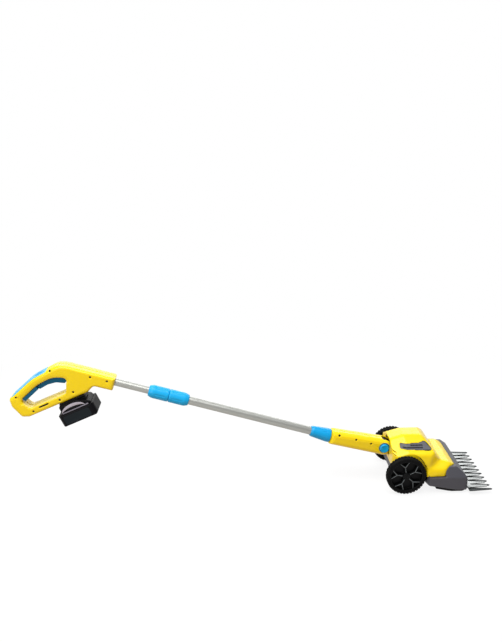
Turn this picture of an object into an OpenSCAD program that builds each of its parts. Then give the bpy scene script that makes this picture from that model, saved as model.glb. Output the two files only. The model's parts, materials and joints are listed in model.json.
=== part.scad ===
// Cordless grass shears on two wheels, with a tilting telescopic handle.
// X points forward to the blades, Z points up, and the origin lies on the flat of the sole.

/* [Head] */
// Height of the dome above the ground
head_top = 145; // [140:1:152]
// Rear face of the head, behind the wheel axle
head_rear = 34; // [32:1:36]
// Width of the head between the wheels
waist_w = 150; // [144:1:152]
// Width of the dome's crown
crown_w = 46; // [36:1:56]
// Width of the dome at its shoulders
shoulder_w = 160; // [156:1:164]
// Height of the dome's shoulders
shoulder_h = 110; // [106:1:114]
// Fall of the crown towards the rear
crown_fall = 17; // [14:0.5:18]
// Height of the front deck
deck_h = 82; // [76:1:88]
// Front edge of the deck, ahead of the axle
nose_x = 144; // [138:1:150]
// Height of the deck's front edge
nose_h = 70; // [64:1:74]
// Height of the joint between the housings at the front
split_h = 46; // [42:1:50]
// Height of the joint between the housings at the wheels
rear_split_h = 66; // [62:1:70]
// Front face of the skirt, ahead of the axle
skirt_x = 175; // [170:1:180]
// Step of the skirt's sides inside the wheels' outer faces
skirt_in = 3; // [2:0.5:6]
// Height of the skirt's lower edge
skirt_low = 8; // [6:0.5:9]
// Wall of the moulded housings
wall = 2.6; // [2:0.2:3.2]

/* [Wheels] */
// Wheel diameter
wheel_d = 110; // [104:1:114]
// Tyre width
wheel_w = 20; // [16:1:21]
// Gap between the head's waist and a wheel
wheel_gap = 6; // [5:0.5:9]
// Diameter of the rim under the tyre
rim_d = 94; // [86:1:97]
// Axle diameter
axle_d = 10; // [8:0.5:12]
// Number of forked spokes
spoke_n = 5; // [4:1:6]
// Number of grooves across the tread
tread_n = 36; // [24:2:48]
// Distance of the axle behind the middle of the sole
axle_back = 150; // [146:1:154]

/* [Blades] */
// Number of teeth
tooth_n = 11; // [9:2:11]
// Step of the outermost teeth outside the skirt's sides
comb_over = 4; // [2:0.5:6]
// Length of a fixed tooth ahead of the comb's strip
tooth_len = 55; // [45:1:62]
// Thickness of a blade
blade_t = 2; // [1.6:0.1:2.2]
// Height of the fixed blade's underside
blade_z = 11; // [10:0.5:12]
// Travel of the moving blade to each side
stroke = 5; // [3:0.5:6]

/* [Drive] */
// Module of the gear teeth
gear_m = 1.25; // [1:0.05:1.3]
// Teeth on the crank gear
gear_teeth = 40; // [36:4:44]
// Teeth on the motor pinion
pinion_teeth = 16; // [14:2:18]
// Crank axis, ahead of the axle
crank_x = 118; // [114:1:120]
// Diameter of the motor can
motor_d = 36; // [30:1:38]

/* [Pivot] */
// Height of the handle pivot
pivot_h = 102; // [98:1:106]
// Distance of the pivot behind the axle
pivot_back = 47.5; // [45:0.5:50]
// Diameter of the arm's round end
arm_end_d = 50; // [48:1:51]
// Pivot pin diameter
pin_d = 12; // [10:0.5:13]
// Lock button diameter
button_d = 25.6; // [22:0.2:27]
// Travel of the lock button
button_travel = 4; // [3:0.5:4]
// Width of the yoke between the arm's cheeks
yoke_w = 22; // [18:1:24]
// Turn of the handle between its lowest and highest position
tilt_range = 46; // [40:1:50]
// Number of locking positions
detent_n = 9; // [7:1:9]

/* [Pole] */
// Slope of the pole in its lowest position
pole_tilt = 16.5; // [14:0.5:20]
// Distance of the pole's axis below the pivot
pole_drop = 13; // [10:0.5:15]
// Length of the arm from pivot to collar
arm_len = 156; // [146:1:166]
// Width of the arm
arm_w = 44; // [42:1:48]
// Height of the arm
arm_h = 40; // [38:1:42]
// Lower tube diameter
tube_d = 23; // [22:0.5:24]
// Wall of both tubes
tube_wall = 1.2; // [1:0.1:1.4]
// Length of the lower collar
collar_len = 58; // [50:1:66]
// Diameter of the lower collar at the arm
collar_d = 39; // [38:0.5:42]
// Visible length of the lower tube
lower_run = 354; // [300:2:400]
// Length of the locking sleeve
sleeve_len = 114; // [100:1:124]
// Diameter of the locking sleeve
sleeve_d = 37; // [36:0.5:40]
// Visible length of the upper tube
upper_run = 94; // [86:1:120]
// Length of the upper tube inside the lower one
tube_overlap = 240; // [215:5:260]

/* [Handle] */
// Height of the neck
neck_h = 40; // [38:1:44]
// Share of the handle's length that has a straight top
crown_part = 0.573; // [0.56:0.001:0.59]
// Drop of the grip's rear end below the pole's axis
grip_drop = 118; // [112:1:122]
// Length of the handle along the pole
handle_len = 262; // [256:1:268]
// Drop of the foot below the pole's axis
foot_drop = 160; // [154:1:164]
// Width of the handle
handle_w = 46; // [44:1:50]
// Wall of the handle shells
handle_wall = 2.8; // [2.2:0.2:3.2]
// Thickness of the top grip
grip_t = 3; // [2:0.5:4]
// Travel of the safety button
safety_travel = 2.5; // [2:0.5:3]
// Turn of the trigger
trigger_turn = 5; // [4:0.5:6]

/* [Battery] */
// Length of the battery
battery_len = 104; // [102:1:108]
// Width of the battery
battery_w = 74; // [73:1:80]
// Height of the battery's lower block
battery_h = 36; // [34:1:40]
// Height of the battery's upper part
lid_h = 26; // [25:1:28]
// Width of the battery's upper part
lid_w = 60; // [58:1:64]
// Cell diameter
cell_d = 18; // [17:0.5:18.5]
// Cell length
cell_len = 65; // [60:1:66]
// Travel of the release button
release_travel = 3; // [2:0.5:3]

/* [Fits] */
// Radial clearance of a running shaft
run_gap = 0.05; // [0.02:0.01:0.08]
// Clearance between sliding pieces
slide_gap = 0.3; // [0.25:0.05:0.4]
// Clearance between pieces that are seated
seat_gap = 0.1; // [0.05:0.05:0.2]

/* [Hidden] */
$fn = 64;
axle_z = wheel_d / 2;
rest_gap = 0.4;
over = 1;
track_w = waist_w + 2 * (wheel_w + wheel_gap);
skirt_w = track_w - 2 * skirt_in;

// Colours
yellow = [0.96, 0.86, 0.08];
dark_grey = [0.27, 0.27, 0.29];
black = [0.07, 0.07, 0.08];
blue = [0.1, 0.6, 0.84];
teal = [0.06, 0.3, 0.4];
steel = [0.72, 0.73, 0.75];
tube_grey = [0.6, 0.6, 0.58];
orange_metal = [0.75, 0.62, 0.3];

// Blades and what they drive
tooth_pitch = (skirt_w + 2 * comb_over) / (tooth_n - 1);
strip_back = skirt_x - 27;
strip_front = skirt_x + 13;
moving_z = blade_z + blade_t + 0.2;
tunnel_top = moving_z + blade_t + 0.8;
strip_half = skirt_w / 2 - 5;
tongue_half = 13;
tongue_back = crank_x - 14;
blade_screw_x = skirt_x - 14;
blade_screw_y = [-0.38, -0.15, 0.15, 0.38] * skirt_w;
blade_screw_r = 2;
cover_top = blade_z - 0.2;
cover_back = crank_x - 30;
cover_front = skirt_x - 2;
cover_half = skirt_w / 2 - 8;

// Gears
gear_r = gear_m * gear_teeth / 2;
pinion_r = gear_m * pinion_teeth / 2;
motor_x = crank_x - gear_r - pinion_r;
gear_low = moving_z + blade_t + 2.4;
gear_h = 9;
gear_web = 2;
gear_top = gear_low + gear_h;
pocket_top = gear_top + 1.4;
crank_r = stroke - 0.5;
crank_pin_r = 3;
stud_r = 4;
mount_t = 2.5;
well_floor = pocket_top + 3;
motor_low = well_floor + mount_t;
motor_clear = 4.5;
motor_len = deck_h - motor_low - motor_clear;
shaft_r = 2.5;

// Pivot, in the arm's cheeks from the near side to the far side
arm_end_r = arm_end_d / 2;
pin_r = pin_d / 2;
button_r = button_d / 2;
yoke_r = arm_end_r - 7;
neck_half = 12;
detent_t = 2;
detent_r = yoke_r - 2;
cheek_near = yoke_w / 2 + detent_t + slide_gap;
cheek_far = yoke_w / 2 + slide_gap;
button_floor = arm_w / 2 - 6.7;
boss_r = button_r + 2.6;

// Places along the pole, measured from the pivot
tube_r = tube_d / 2;
inner_r = tube_r - tube_wall - slide_gap;
collar_at = arm_len + 0.5;
sleeve_at = collar_at + collar_len + lower_run;
neck_at = sleeve_at + sleeve_len + upper_run;
sleeve_half = sleeve_len / 2;
spigot_r = tube_r + 2.6;
arm_spigot = 16;
sleeve_spigot = 24;
collet_len = 14;
tube_start = 0.37 * arm_len;
arm_rib_at = [0.46 * arm_len, 0.72 * arm_len, arm_len - 6];
arm_rib_t = 5;
arm_screw_at = [0.26, 0.545, 0.865] * arm_len;
arm_screw_w = 2.5;
screw_r = 1.5;
screw_head_r = 3;

// Handle outline: X forward from the neck's end, Z up from the pole's axis
neck_half_h = neck_h / 2;
belly = [-0.237 * handle_len, -40];
foot = [-0.756 * handle_len, -(foot_drop - 6)];
rail_slope = atan2(belly[1] - foot[1], belly[0] - foot[0]);
handle_corners = [
    [0, -neck_half_h, 3],
    [0, neck_half_h, 4],
    [-crown_part * handle_len, neck_half_h + 2, 60],
    [-0.82 * handle_len, -42, 110],
    [-handle_len, -grip_drop, 9],
    [-0.954 * handle_len, -(grip_drop + 20), 9],
    [-0.832 * handle_len, -foot_drop, 8],
    [foot[0], foot[1], 6],
    [belly[0], belly[1], 12],
    [-0.198 * handle_len, -neck_half_h, 9],
];
// Height of the lower strut above the battery's rail line
strut_h = 21;
strut_lift = strut_h / cos(rail_slope);
function strut_top(x) = belly[1] + strut_lift + (x - belly[0]) * tan(rail_slope);
loop_corners = [
    [-0.882 * handle_len, -(grip_drop - 4), 9],
    [-0.771 * handle_len, strut_top(-0.771 * handle_len), 12],
    [-0.447 * handle_len, strut_top(-0.447 * handle_len), 9],
    [-0.485 * handle_len, -16, 7],
    [-0.626 * handle_len, -25, 50],
    [-0.752 * handle_len, -57, 60],
];
handle_half = handle_w / 2;
handle_rim = 9;
handle_screw_at = [
    [-0.66 * handle_len, -6],
    [-0.931 * handle_len, 12 - grip_drop],
    [-0.252 * handle_len, 5],
    [-20, 5],
    [-0.382 * handle_len, strut_top(-0.382 * handle_len) - 5],
    [-0.496 * handle_len, strut_top(-0.496 * handle_len) - 12],
    [-0.729 * handle_len, strut_top(-0.729 * handle_len) - 13],
];
neck_rib_at = [8, 30];
neck_rib_t = 5;
tube_end = 36;

// Trigger in its slot under the grip
trigger_pin_at = [-0.473 * handle_len, -8];
trigger_pin_r = 2;
trigger_half = 13;
trigger_pin_half = trigger_half + 5.8;
trigger_corners = [
    [-0.45 * handle_len, -9, 4],
    [-0.473 * handle_len, -1, 4],
    [-0.611 * handle_len, -13, 20],
    [-0.702 * handle_len, -35, 10],
    [-0.744 * handle_len, -62, 2],
    [-0.725 * handle_len, -66, 3],
    [-0.656 * handle_len, -47, 30],
    [-0.58 * handle_len, -35, 20],
    [-0.492 * handle_len, -31, 4],
];
liner_t = 7.5;
liner_half = 19;

// Top grip and the safety button in its front stretch, measured along the sloping back
back_at = [handle_corners[2][0], handle_corners[2][1]];
back_way = toward(handle_corners[2], handle_corners[3]);
back_slope = atan2(back_way[1], back_way[0]) - 180;
grip_start = 49;
grip_half = handle_half - 5;
safety_mid = 69;
safety_half_len = 15;
safety_half = 8;
safety_deep = 8;
safety_proud = 1.4;
grip_backing = 2.6;

// Battery: X forward along the rail from the belly's front, Z up from the rail line
battery_front = 2;
battery_back = battery_front - battery_len;
lid_front = battery_front - 5;
lid_back = battery_back + 9;
shoe_front = -12;
shoe_back = lid_back + 6;
shoe_half = 22;
rail_half = 18;
rail_t = 5;
rail_neck = 4;
rail_neck_half = 13;
shoe_t = 3;
battery_wall = 2.2;
battery_round = 12;
cell_n = 5;
cell_margin = 4.4;

// Outlines are lists of corners [x, y, radius], anticlockwise

function toward(a, b) = let (v = [b[0] - a[0], b[1] - a[1]]) v / norm(v);

function turned(v, angle) =
    [v[0] * cos(angle) - v[1] * sin(angle), v[0] * sin(angle) + v[1] * cos(angle)];

// 1 at a corner that bulges, -1 at one that is drawn in
function bulge(p, c, n) = cross(toward(p, c), toward(c, n)) >= 0 ? 1 : -1;

function half_angle(p, c, n) = acos(toward(c, p) * toward(c, n)) / 2;

function middle_way(p, c, n) = let (v = toward(c, p) + toward(c, n)) v / norm(v);

function corner_arc(p, c, n, steps) =
    c[2] == 0 ? [[c[0], c[1]]] :
    let (half = half_angle(p, c, n))
    let (centre = [c[0], c[1]] + middle_way(p, c, n) * c[2] / sin(half))
    let (start = [c[0], c[1]] + toward(c, p) * c[2] / tan(half) - centre)
    let (sweep = bulge(p, c, n) * (180 - 2 * half))
    [for (i = [0:steps]) centre + turned(start, sweep * i / steps)];

function before(list, i) = list[(i + len(list) - 1) % len(list)];
function after(list, i) = list[(i + 1) % len(list)];

// Points of an outline with its corners rounded
function outline(corners, steps = 5) =
    [for (i = [0:len(corners) - 1])
        each corner_arc(before(corners, i), corners[i], after(corners, i), steps)];

// The same corners with every edge moved inward
function inset(corners, d) =
    [for (i = [0:len(corners) - 1])
        let (p = before(corners, i), c = corners[i], n = after(corners, i), b = bulge(p, c, n))
        let (q = [c[0], c[1]] + middle_way(p, c, n) * b * d / sin(half_angle(p, c, n)))
        [q[0], q[1], c[2] == 0 ? 0 : max(c[2] - b * d, 0.4)]];

// Right half of a section [y, z, radius] made whole by its mirror image
function both_sides(half) =
    concat(half, [for (i = [len(half) - 1:-1:0]) [-half[i][0], half[i][1], half[i][2]]]);

// Plan [x, y, radius] made whole in the same way
function both_flanks(half) =
    concat(half, [for (i = [len(half) - 1:-1:0]) [half[i][0], -half[i][1], half[i][2]]]);

// Outline in X and Z made thick along Y
module slab(points, half_w) {
    rotate([90, 0, 0]) linear_extrude(2 * half_w, center = true) polygon(points);
}

// Outline in Y and Z made long along X
module bar(points, x0, x1) {
    translate([x0, 0, 0]) rotate([90, 0, 90]) linear_extrude(x1 - x0) polygon(points);
}

// Outline in X and Z, thick along Y, with both rims rounded over
module moulded(corners, half_w, rim, steps = 5, rim_steps = 3) {
    turn = [for (i = [0:rim_steps]) 90 * i / rim_steps];
    near = [for (i = [rim_steps:-1:0]) [-(half_w - rim + rim * sin(turn[i])), rim * (1 - cos(turn[i]))]];
    far = [for (i = [0:rim_steps]) [half_w - rim + rim * sin(turn[i]), rim * (1 - cos(turn[i]))]];
    levels = concat(near, far);
    rings = [for (level = levels)
        [for (p = outline(inset(corners, level[1]), steps)) [p[0], level[0], p[1]]]];
    n = len(rings[0]);
    last = (len(rings) - 1) * n;
    sides = [for (k = [0:len(rings) - 2]) for (i = [0:n - 1])
        let (a = k * n + i, b = k * n + (i + 1) % n) each [[a, b, b + n], [a, b + n, a + n]]];
    caps = [[for (i = [n - 1:-1:0]) i], [for (i = [0:n - 1]) last + i]];
    polyhedron([for (ring = rings) each ring], concat(sides, caps), convexity = 8);
}

module tube(r_out, r_in, z0, z1) {
    translate([0, 0, z0]) difference() {
        cylinder(r = r_out, h = z1 - z0);
        translate([0, 0, -over]) cylinder(r = r_in, h = z1 - z0 + 2 * over);
    }
}

// Round bar along Y at a place in X and Z
module cross_bar(x, z, r, y0, y1) {
    translate([x, y0, z]) rotate([-90, 0, 0]) cylinder(r = r, h = y1 - y0);
}

// Frames

module at_axle() translate([-axle_back, 0, 0]) children();

module on_pole() at_axle() translate([-pivot_back, 0, pivot_h]) rotate([0, pole_tilt, 0]) children();

// Z runs up the pole from a distance behind the pivot
module along_pole(from) on_pole() translate([-from, 0, -pole_drop]) rotate([0, -90, 0]) children();

module on_handle() on_pole() translate([-neck_at, 0, -pole_drop]) children();

module on_rail() on_handle() translate([belly[0], 0, belly[1]]) rotate([0, -rail_slope, 0]) children();

// Z runs outward, and the wheel's outer face lies at zero
module near_side() at_axle() translate([0, -track_w / 2, axle_z]) rotate([90, 0, 0]) children();

module far_side() mirror([0, 1, 0]) near_side() children();

half_reach = arm_len + handle_len;

module near_half() {
    intersection() {
        children();
        translate([-half_reach, -half_reach, -half_reach])
            cube([2 * half_reach, half_reach - seat_gap / 2, 2 * half_reach]);
    }
}

module far_half() {
    intersection() {
        children();
        translate([-half_reach, seat_gap / 2, -half_reach])
            cube([2 * half_reach, half_reach, 2 * half_reach]);
    }
}

// Head housings

dome_side = [
    [-head_rear, rear_split_h, 0],
    [nose_x - 30, rear_split_h, 0],
    [nose_x - 41, deck_h + 1, 6],
    [80, head_top - 28, 30],
    [56, head_top, 34],
    [-head_rear, head_top, 8],
];
deck_side = [
    [58, split_h, 0],
    [nose_x, split_h, 0],
    [nose_x, nose_h, 4],
    [nose_x - 18, deck_h - 1, 14],
    [nose_x - 44, deck_h + 2, 4],
    [58, deck_h + 2, 0],
];
dome_section = both_sides([
    [skirt_w / 2 - 4, split_h - 8, 0],
    [shoulder_w / 2, shoulder_h, 12],
    [crown_w / 2, head_top - 2, 30],
]);
deck_section = both_sides([
    [skirt_w / 2 - 4.3, split_h - 8, 0],
    [skirt_w / 2 - 10.4, nose_h - 2, 10],
    [skirt_w / 2 - 36, deck_h + 4, 10],
]);
dome_plan = both_flanks([
    [-head_rear, -(waist_w / 2 - 5), 24],
    [-6, -(waist_w / 2 + 9), 30],
    [60, -(skirt_w / 2 - 8), 50],
    [nose_x - 26, -(skirt_w / 2 - 48), 10],
]);
head_plan = both_flanks([
    [-head_rear, -(waist_w / 2 - 5), 24],
    [-6, -(waist_w / 2 + 9), 30],
    [62, -(skirt_w / 2 - 6), 60],
    [nose_x - 34, -(skirt_w / 2 - 9), 6],
    [nose_x, -(skirt_w / 2 - 35), 9],
]);
base_side = [
    [4 - head_rear, skirt_low + 28, 6],
    [62, skirt_low + 15, 16],
    [skirt_x - 30, skirt_low, 40],
    [skirt_x, skirt_low, 1],
    [skirt_x, split_h - 8, 6],
    [skirt_x - 7, split_h + 6, 6],
    [nose_x + 2, nose_h + 1.5, 3],
    [nose_x - 31, nose_h + 2.5, 2],
    [nose_x - 31, split_h, 0],
    [68, split_h, 0],
    [60, rear_split_h, 0],
    [4 - head_rear, rear_split_h, 0],
];
base_section = both_sides([
    [skirt_w / 2, 0, 0],
    [skirt_w / 2, split_h, 5],
    [skirt_w / 2 - 18, nose_h + 3, 0],
]);
base_plan = both_flanks([
    [4 - head_rear, -(waist_w / 2 - 4), 20],
    [58, -waist_w / 2, 0],
    [66, -skirt_w / 2, 5],
    [skirt_x, -skirt_w / 2, 8],
]);

arch_r = wheel_d / 2 + 5;
arch_y = waist_w / 2 + 2;
crown_x = 25;

// Solid form of the upper housing, with every face moved inward
module head_form(d) {
    difference() {
        union() {
            intersection() {
                slab(outline(inset(dome_side, d)), skirt_w);
                bar(outline(inset(dome_section, d)), -head_rear - over, nose_x + over);
                translate([crown_x, 0, 0]) rotate([0, -crown_fall, 0])
                    bar(outline(inset(dome_section, d)), -head_top, head_top);
                linear_extrude(head_top + 10) polygon(outline(inset(dome_plan, d)));
            }
            intersection() {
                slab(outline(inset(deck_side, d)), skirt_w);
                bar(outline(inset(deck_section, d)), -head_rear - over, nose_x + over);
                linear_extrude(head_top + 10) polygon(outline(inset(head_plan, d)));
            }
        }
        for (side = [-1, 1]) cross_bar(0, axle_z, arch_r + d,
            side < 0 ? -skirt_w : arch_y - d, side < 0 ? d - arch_y : skirt_w);
    }
}

// Outline of the side vents
vent_low = shoulder_h + 8;
vent_corners = [
    [-11, vent_low, 1.5],
    [77, vent_low - 1, 1.5],
    [59, vent_low + 14, 2],
    [42, vent_low + 11, 2],
    [-9, vent_low + 9, 2],
];
vent_slot_n = 2;
rear_slots = [shoulder_h + 2, shoulder_h - 4];
vent_depth = wall + 3;

module vent_zone(clear) slab(outline(inset(vent_corners, clear), 3), skirt_w);

// Notch for the arm's round end in the head's rear wall
notch_half = arm_w / 2 + 1.5;
notch_r = arm_end_r * 1.03 + 1;
notch_front = notch_r - pivot_back;

module arm_notch() cross_bar(-pivot_back, pivot_h, notch_r, -notch_half, notch_half);

module head_shell() {
    color(yellow) at_axle() difference() {
        head_form(0);
        head_form(wall);
        translate([0, 0, -2 * wall]) head_form(wall);
        vent_zone(-seat_gap);
        arm_notch();
        for (slot = rear_slots) translate([-head_rear + 4, 0, slot]) rotate([0, 20, 0])
            cube([14, skirt_w, 2], center = true);
    }
}

module vents() {
    at_axle() difference() {
        intersection() {
            vent_zone(seat_gap);
            head_form(1);
        }
        head_form(vent_depth);
        for (i = [0:vent_slot_n - 1])
            translate([24 + 11 * i, 0, vent_low + 2.6 + 4 * i])
                cube([56 - 22 * i, skirt_w, 2], center = true);
    }
}

module vent_near() color(dark_grey) near_half() vents();

module vent_far() color(dark_grey) far_half() vents();

module base_form() {
    intersection() {
        slab(outline(base_side), skirt_w);
        bar(outline(base_section), -head_rear, skirt_x + over);
        linear_extrude(head_top) polygon(outline(base_plan));
    }
}

well_half = waist_w / 2 - 5;
well_low = skirt_low + 32;
well_rear = 7 - head_rear;
well_front = 55;
motor_well_half = skirt_w / 2 - 12;
axle_boss_r = axle_d / 2 + 4;
wheel_bush = track_w / 2 - wheel_w - 1.6;

module base_housing() {
    color(dark_grey) at_axle() difference() {
        union() {
            difference() {
                base_form();
                head_form(-seat_gap);
                translate([well_rear, -well_half, well_low])
                    cube([well_front - well_rear, 2 * well_half, head_top]);
                translate([60, -motor_well_half, well_floor])
                    cube([nose_x - 36 - 60, 2 * motor_well_half, head_top]);
            }
            for (side = [-1, 1])
                cross_bar(0, axle_z, axle_boss_r, side < 0 ? -wheel_bush : well_half - 14,
                    side < 0 ? 14 - well_half : wheel_bush);
        }
        cross_bar(0, axle_z, axle_d / 2 + run_gap, -skirt_w, skirt_w);
        translate([cover_back - slide_gap, -cover_half - slide_gap, -over])
            cube([skirt_x, 2 * (cover_half + slide_gap), cover_top + seat_gap + over]);
        translate([strip_back - over, -strip_half - over, 0])
            cube([skirt_x, 2 * (strip_half + over), tunnel_top]);
        translate([tongue_back - over, -tongue_half - stroke - over, 0])
            cube([skirt_x, 2 * (tongue_half + stroke + over), tunnel_top]);
        translate([crank_x, 0, 0]) cylinder(r = gear_r + gear_m + 1.5, h = pocket_top);
        translate([motor_x, 0, 0]) cylinder(r = pinion_r + gear_m + 1.5, h = pocket_top);
        translate([motor_x, 0, 0]) cylinder(r = shaft_r + 2, h = well_floor + over);
        translate([crank_x, 0, 0]) cylinder(r = stud_r + seat_gap / 2, h = pocket_top + 12);
        for (y = blade_screw_y)
            translate([blade_screw_x, y, 0]) cylinder(r = blade_screw_r + seat_gap, h = tunnel_top + 9);
    }
}

module base_cover() {
    color(black) at_axle() difference() {
        slab(outline([
            [cover_back + 40, 0, 20],
            [cover_front - 8, 0, 6],
            [cover_front, 5, 2],
            [cover_front, cover_top, 0],
            [cover_back, cover_top, 0],
            [cover_back, cover_top - 2.5, 0],
        ]), cover_half);
        for (y = blade_screw_y) translate([blade_screw_x, y, -over]) {
            cylinder(r = blade_screw_r + seat_gap, h = cover_top + 2 * over);
            cylinder(r = 2 * blade_screw_r + slide_gap, h = 5 + over);
        }
    }
}

// Blades

tooth_root = tooth_pitch * 0.76;
tooth_tip = 5.5;

module tooth(length, root, tip) {
    polygon(outline([
        [strip_front - 2, -root / 2, 0],
        [strip_front + length - 3, -tip / 2, 1.5],
        [strip_front + length, 0, 1],
        [strip_front + length - 3, tip / 2, 1.5],
        [strip_front - 2, root / 2, 0],
    ], 2));
}

module comb(count, length, root, half_inside) {
    row = (count - 1) * tooth_pitch;
    translate([strip_back, -half_inside]) square([strip_front - strip_back, 2 * half_inside]);
    translate([skirt_x + 1.5, -row / 2 - root / 2])
        square([strip_front - skirt_x - 1.5, row + root]);
    for (i = [0:count - 1]) translate([0, i * tooth_pitch - row / 2])
        tooth(length, root, tooth_tip);
}

module fixed_blade() {
    color(steel) at_axle() translate([0, 0, blade_z]) linear_extrude(blade_t) difference() {
        comb(tooth_n, tooth_len, tooth_root, strip_half);
        for (y = blade_screw_y) translate([blade_screw_x, y]) circle(r = blade_screw_r + seat_gap);
    }
}

module moving_blade() {
    slot_r = blade_screw_r + slide_gap;
    color(steel) at_axle() translate([0, 0, moving_z]) linear_extrude(blade_t) difference() {
        union() {
            comb(tooth_n - 1, tooth_len - 9, tooth_root - 2, strip_half - stroke);
            translate([tongue_back, -tongue_half]) square([strip_back - tongue_back + over, 2 * tongue_half]);
        }
        for (y = blade_screw_y) translate([blade_screw_x, y]) {
            square([2 * slot_r, 2 * stroke], center = true);
            for (end = [-stroke, stroke]) translate([0, end]) circle(r = slot_r);
        }
        // Slot of the crank's yoke
        translate([crank_x - crank_r - crank_pin_r - 1, -crank_pin_r - run_gap])
            square([2 * (crank_r + crank_pin_r + 1), 2 * (crank_pin_r + run_gap)]);
    }
}

module blade_screws() {
    color(steel) at_axle() for (y = blade_screw_y) translate([blade_screw_x, y, 0]) {
        translate([0, 0, 2]) cylinder(r = 2 * blade_screw_r, h = 3);
        translate([0, 0, 2]) cylinder(r = blade_screw_r, h = tunnel_top + 6);
    }
}

// Drive

pressure = 20;
backlash = 0.14;
root_fill = 0.05;

function involute(base, r) = let (t = sqrt(max(r * r / (base * base) - 1, 0))) t * 180 / PI - atan(t);

// One tooth of a gear, its flank in four steps, pointing along X
function gear_tooth(teeth, m) =
    let (r = m * teeth / 2, base = r * cos(pressure), tip = r + 0.9 * m, root = r - 1.2 * m)
    let (low = max(base, root), half = 90 / teeth - backlash * 90 / (PI * r) + involute(base, r))
    let (flank = [for (i = [0:3]) let (q = low + (tip - low) * i / 3) [q, half - involute(base, q)]])
    let (right = concat([[root - 0.3, flank[0][1]]], flank))
    concat([for (p = right) p[0] * [cos(p[1]), -sin(p[1])]],
        [for (i = [len(right) - 1:-1:0]) right[i][0] * [cos(right[i][1]), sin(right[i][1])]]);

module gear_outline(teeth, m) {
    circle(r = m * teeth / 2 - 1.2 * m + root_fill);
    for (i = [0:teeth - 1]) rotate(i * 360 / teeth) polygon(gear_tooth(teeth, m));
}

module crank_gear() {
    // A gap of the crank gear faces the pinion
    phase = gear_teeth % 2 == 0 ? 180 / gear_teeth : 0;
    color(orange_metal) at_axle() translate([crank_x, 0, gear_low]) {
        difference() {
            rotate(phase) linear_extrude(gear_h) gear_outline(gear_teeth, gear_m);
            translate([0, 0, gear_web]) cylinder(r = stud_r + run_gap, h = gear_h);
        }
        translate([crank_r, 0, moving_z + blade_t + rest_gap - gear_low])
            cylinder(r = crank_pin_r, h = gear_low - moving_z - blade_t - rest_gap + 0.5);
    }
}

module gear_stud() {
    color(steel) at_axle() translate([crank_x, 0, gear_low + gear_web + slide_gap])
        cylinder(r = stud_r, h = pocket_top + 11 - gear_low - gear_web);
}

module motor_mount() {
    color(steel) at_axle() translate([motor_x, 0, well_floor]) difference() {
        translate([-motor_d / 2, -motor_d / 2 - 6, 0]) cube([motor_d - 2, motor_d + 12, mount_t]);
        translate([0, 0, -over]) cylinder(r = shaft_r + 2, h = mount_t + 2 * over);
    }
}

module motor_can() {
    color(steel) at_axle() translate([motor_x, 0, motor_low]) difference() {
        rotate_extrude() polygon(outline([
            [0, 0, 0],
            [motor_d / 2, 0, 1],
            [motor_d / 2, motor_len, 2],
            [6, motor_len, 0],
            [6, motor_len + 3, 0.5],
            [0, motor_len + 3, 0],
        ], 3));
        translate([0, 0, -over]) cylinder(r = shaft_r + run_gap, h = motor_len - 6 + over);
    }
}

module motor_shaft() {
    color(steel) at_axle() translate([motor_x, 0, gear_low]) {
        linear_extrude(gear_h) gear_outline(pinion_teeth, gear_m);
        cylinder(r = shaft_r, h = motor_low - gear_low + motor_len - 8);
    }
}

// Pivot

yoke_front = notch_front + 13;
yoke_back = notch_front + 2;
yoke_foot = well_low + seat_gap;
yoke_top = pivot_h + 18;

module hinge_yoke() {
    color(black) at_axle() difference() {
        union() {
            cross_bar(-pivot_back, pivot_h, yoke_r, -yoke_w / 2, yoke_w / 2);
            translate([-pivot_back, -yoke_w / 2, pivot_h - neck_half])
                cube([pivot_back + yoke_front - over, yoke_w, 2 * neck_half]);
            translate([yoke_back, -notch_half - 2, yoke_foot])
                cube([yoke_front - yoke_back, 2 * notch_half + 4, yoke_top - yoke_foot]);
        }
        cross_bar(-pivot_back, pivot_h, pin_r + seat_gap / 2, -yoke_w, yoke_w);
    }
}

module pivot_pin() {
    color(steel) at_axle() cross_bar(-pivot_back, pivot_h, pin_r, 0.2 - button_floor, arm_w / 2 - 4);
}

module detent_plate() {
    step = tilt_range / (detent_n - 1);
    color(steel) at_axle() translate([-pivot_back, -yoke_w / 2, pivot_h]) rotate([90, 0, 0]) difference() {
        cylinder(r = detent_r, h = detent_t);
        translate([0, 0, -over]) cylinder(r = pin_r + seat_gap / 2, h = detent_t + 2 * over);
        for (i = [0:detent_n - 1]) rotate(180 - pole_tilt - i * step)
            translate([detent_r, 0, -over]) cylinder(r = 0.7, h = detent_t + 2 * over);
    }
}

// Wheels

rim_r = rim_d / 2;
tyre_r = wheel_d / 2;
hub_r = 11;
hub_out = -4;
spoke_w = 6.5;
fork_r = rim_r * 0.56;
fork_spread = 19;
spoke_turn = 28;

module spoke() {
    fork = [fork_r, 0];
    translate([hub_r - 2, -spoke_w / 2]) square([fork_r - hub_r + 4, spoke_w]);
    for (side = [-1, 1]) {
        end = (rim_r - 1.5) * [cos(side * fork_spread), sin(side * fork_spread)];
        translate(fork) rotate(atan2(end[1] - fork[1], end[0] - fork[0]))
            translate([-2, -spoke_w * 0.4]) square([norm(end - fork) + 2, spoke_w * 0.8]);
    }
}

module rim() {
    difference() {
        union() {
            rotate_extrude() polygon(outline([
                [rim_r - 4, -wheel_w + 1, 1],
                [rim_r, -wheel_w + 1, 0],
                [rim_r, -1, 0],
                [rim_r - 4, -1, 1],
            ], 3));
            tube(rim_r - 2, axle_d, -wheel_w + 5, -wheel_w + 8);
            translate([0, 0, -wheel_w + 1]) cylinder(r = hub_r, h = wheel_w - 1 + hub_out);
            translate([0, 0, -10]) linear_extrude(6) for (i = [0:spoke_n - 1])
                rotate(i * 360 / spoke_n + spoke_turn) spoke();
        }
        translate([0, 0, -wheel_w]) cylinder(r = axle_d / 2 + run_gap, h = 2 * wheel_w);
    }
}

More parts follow.
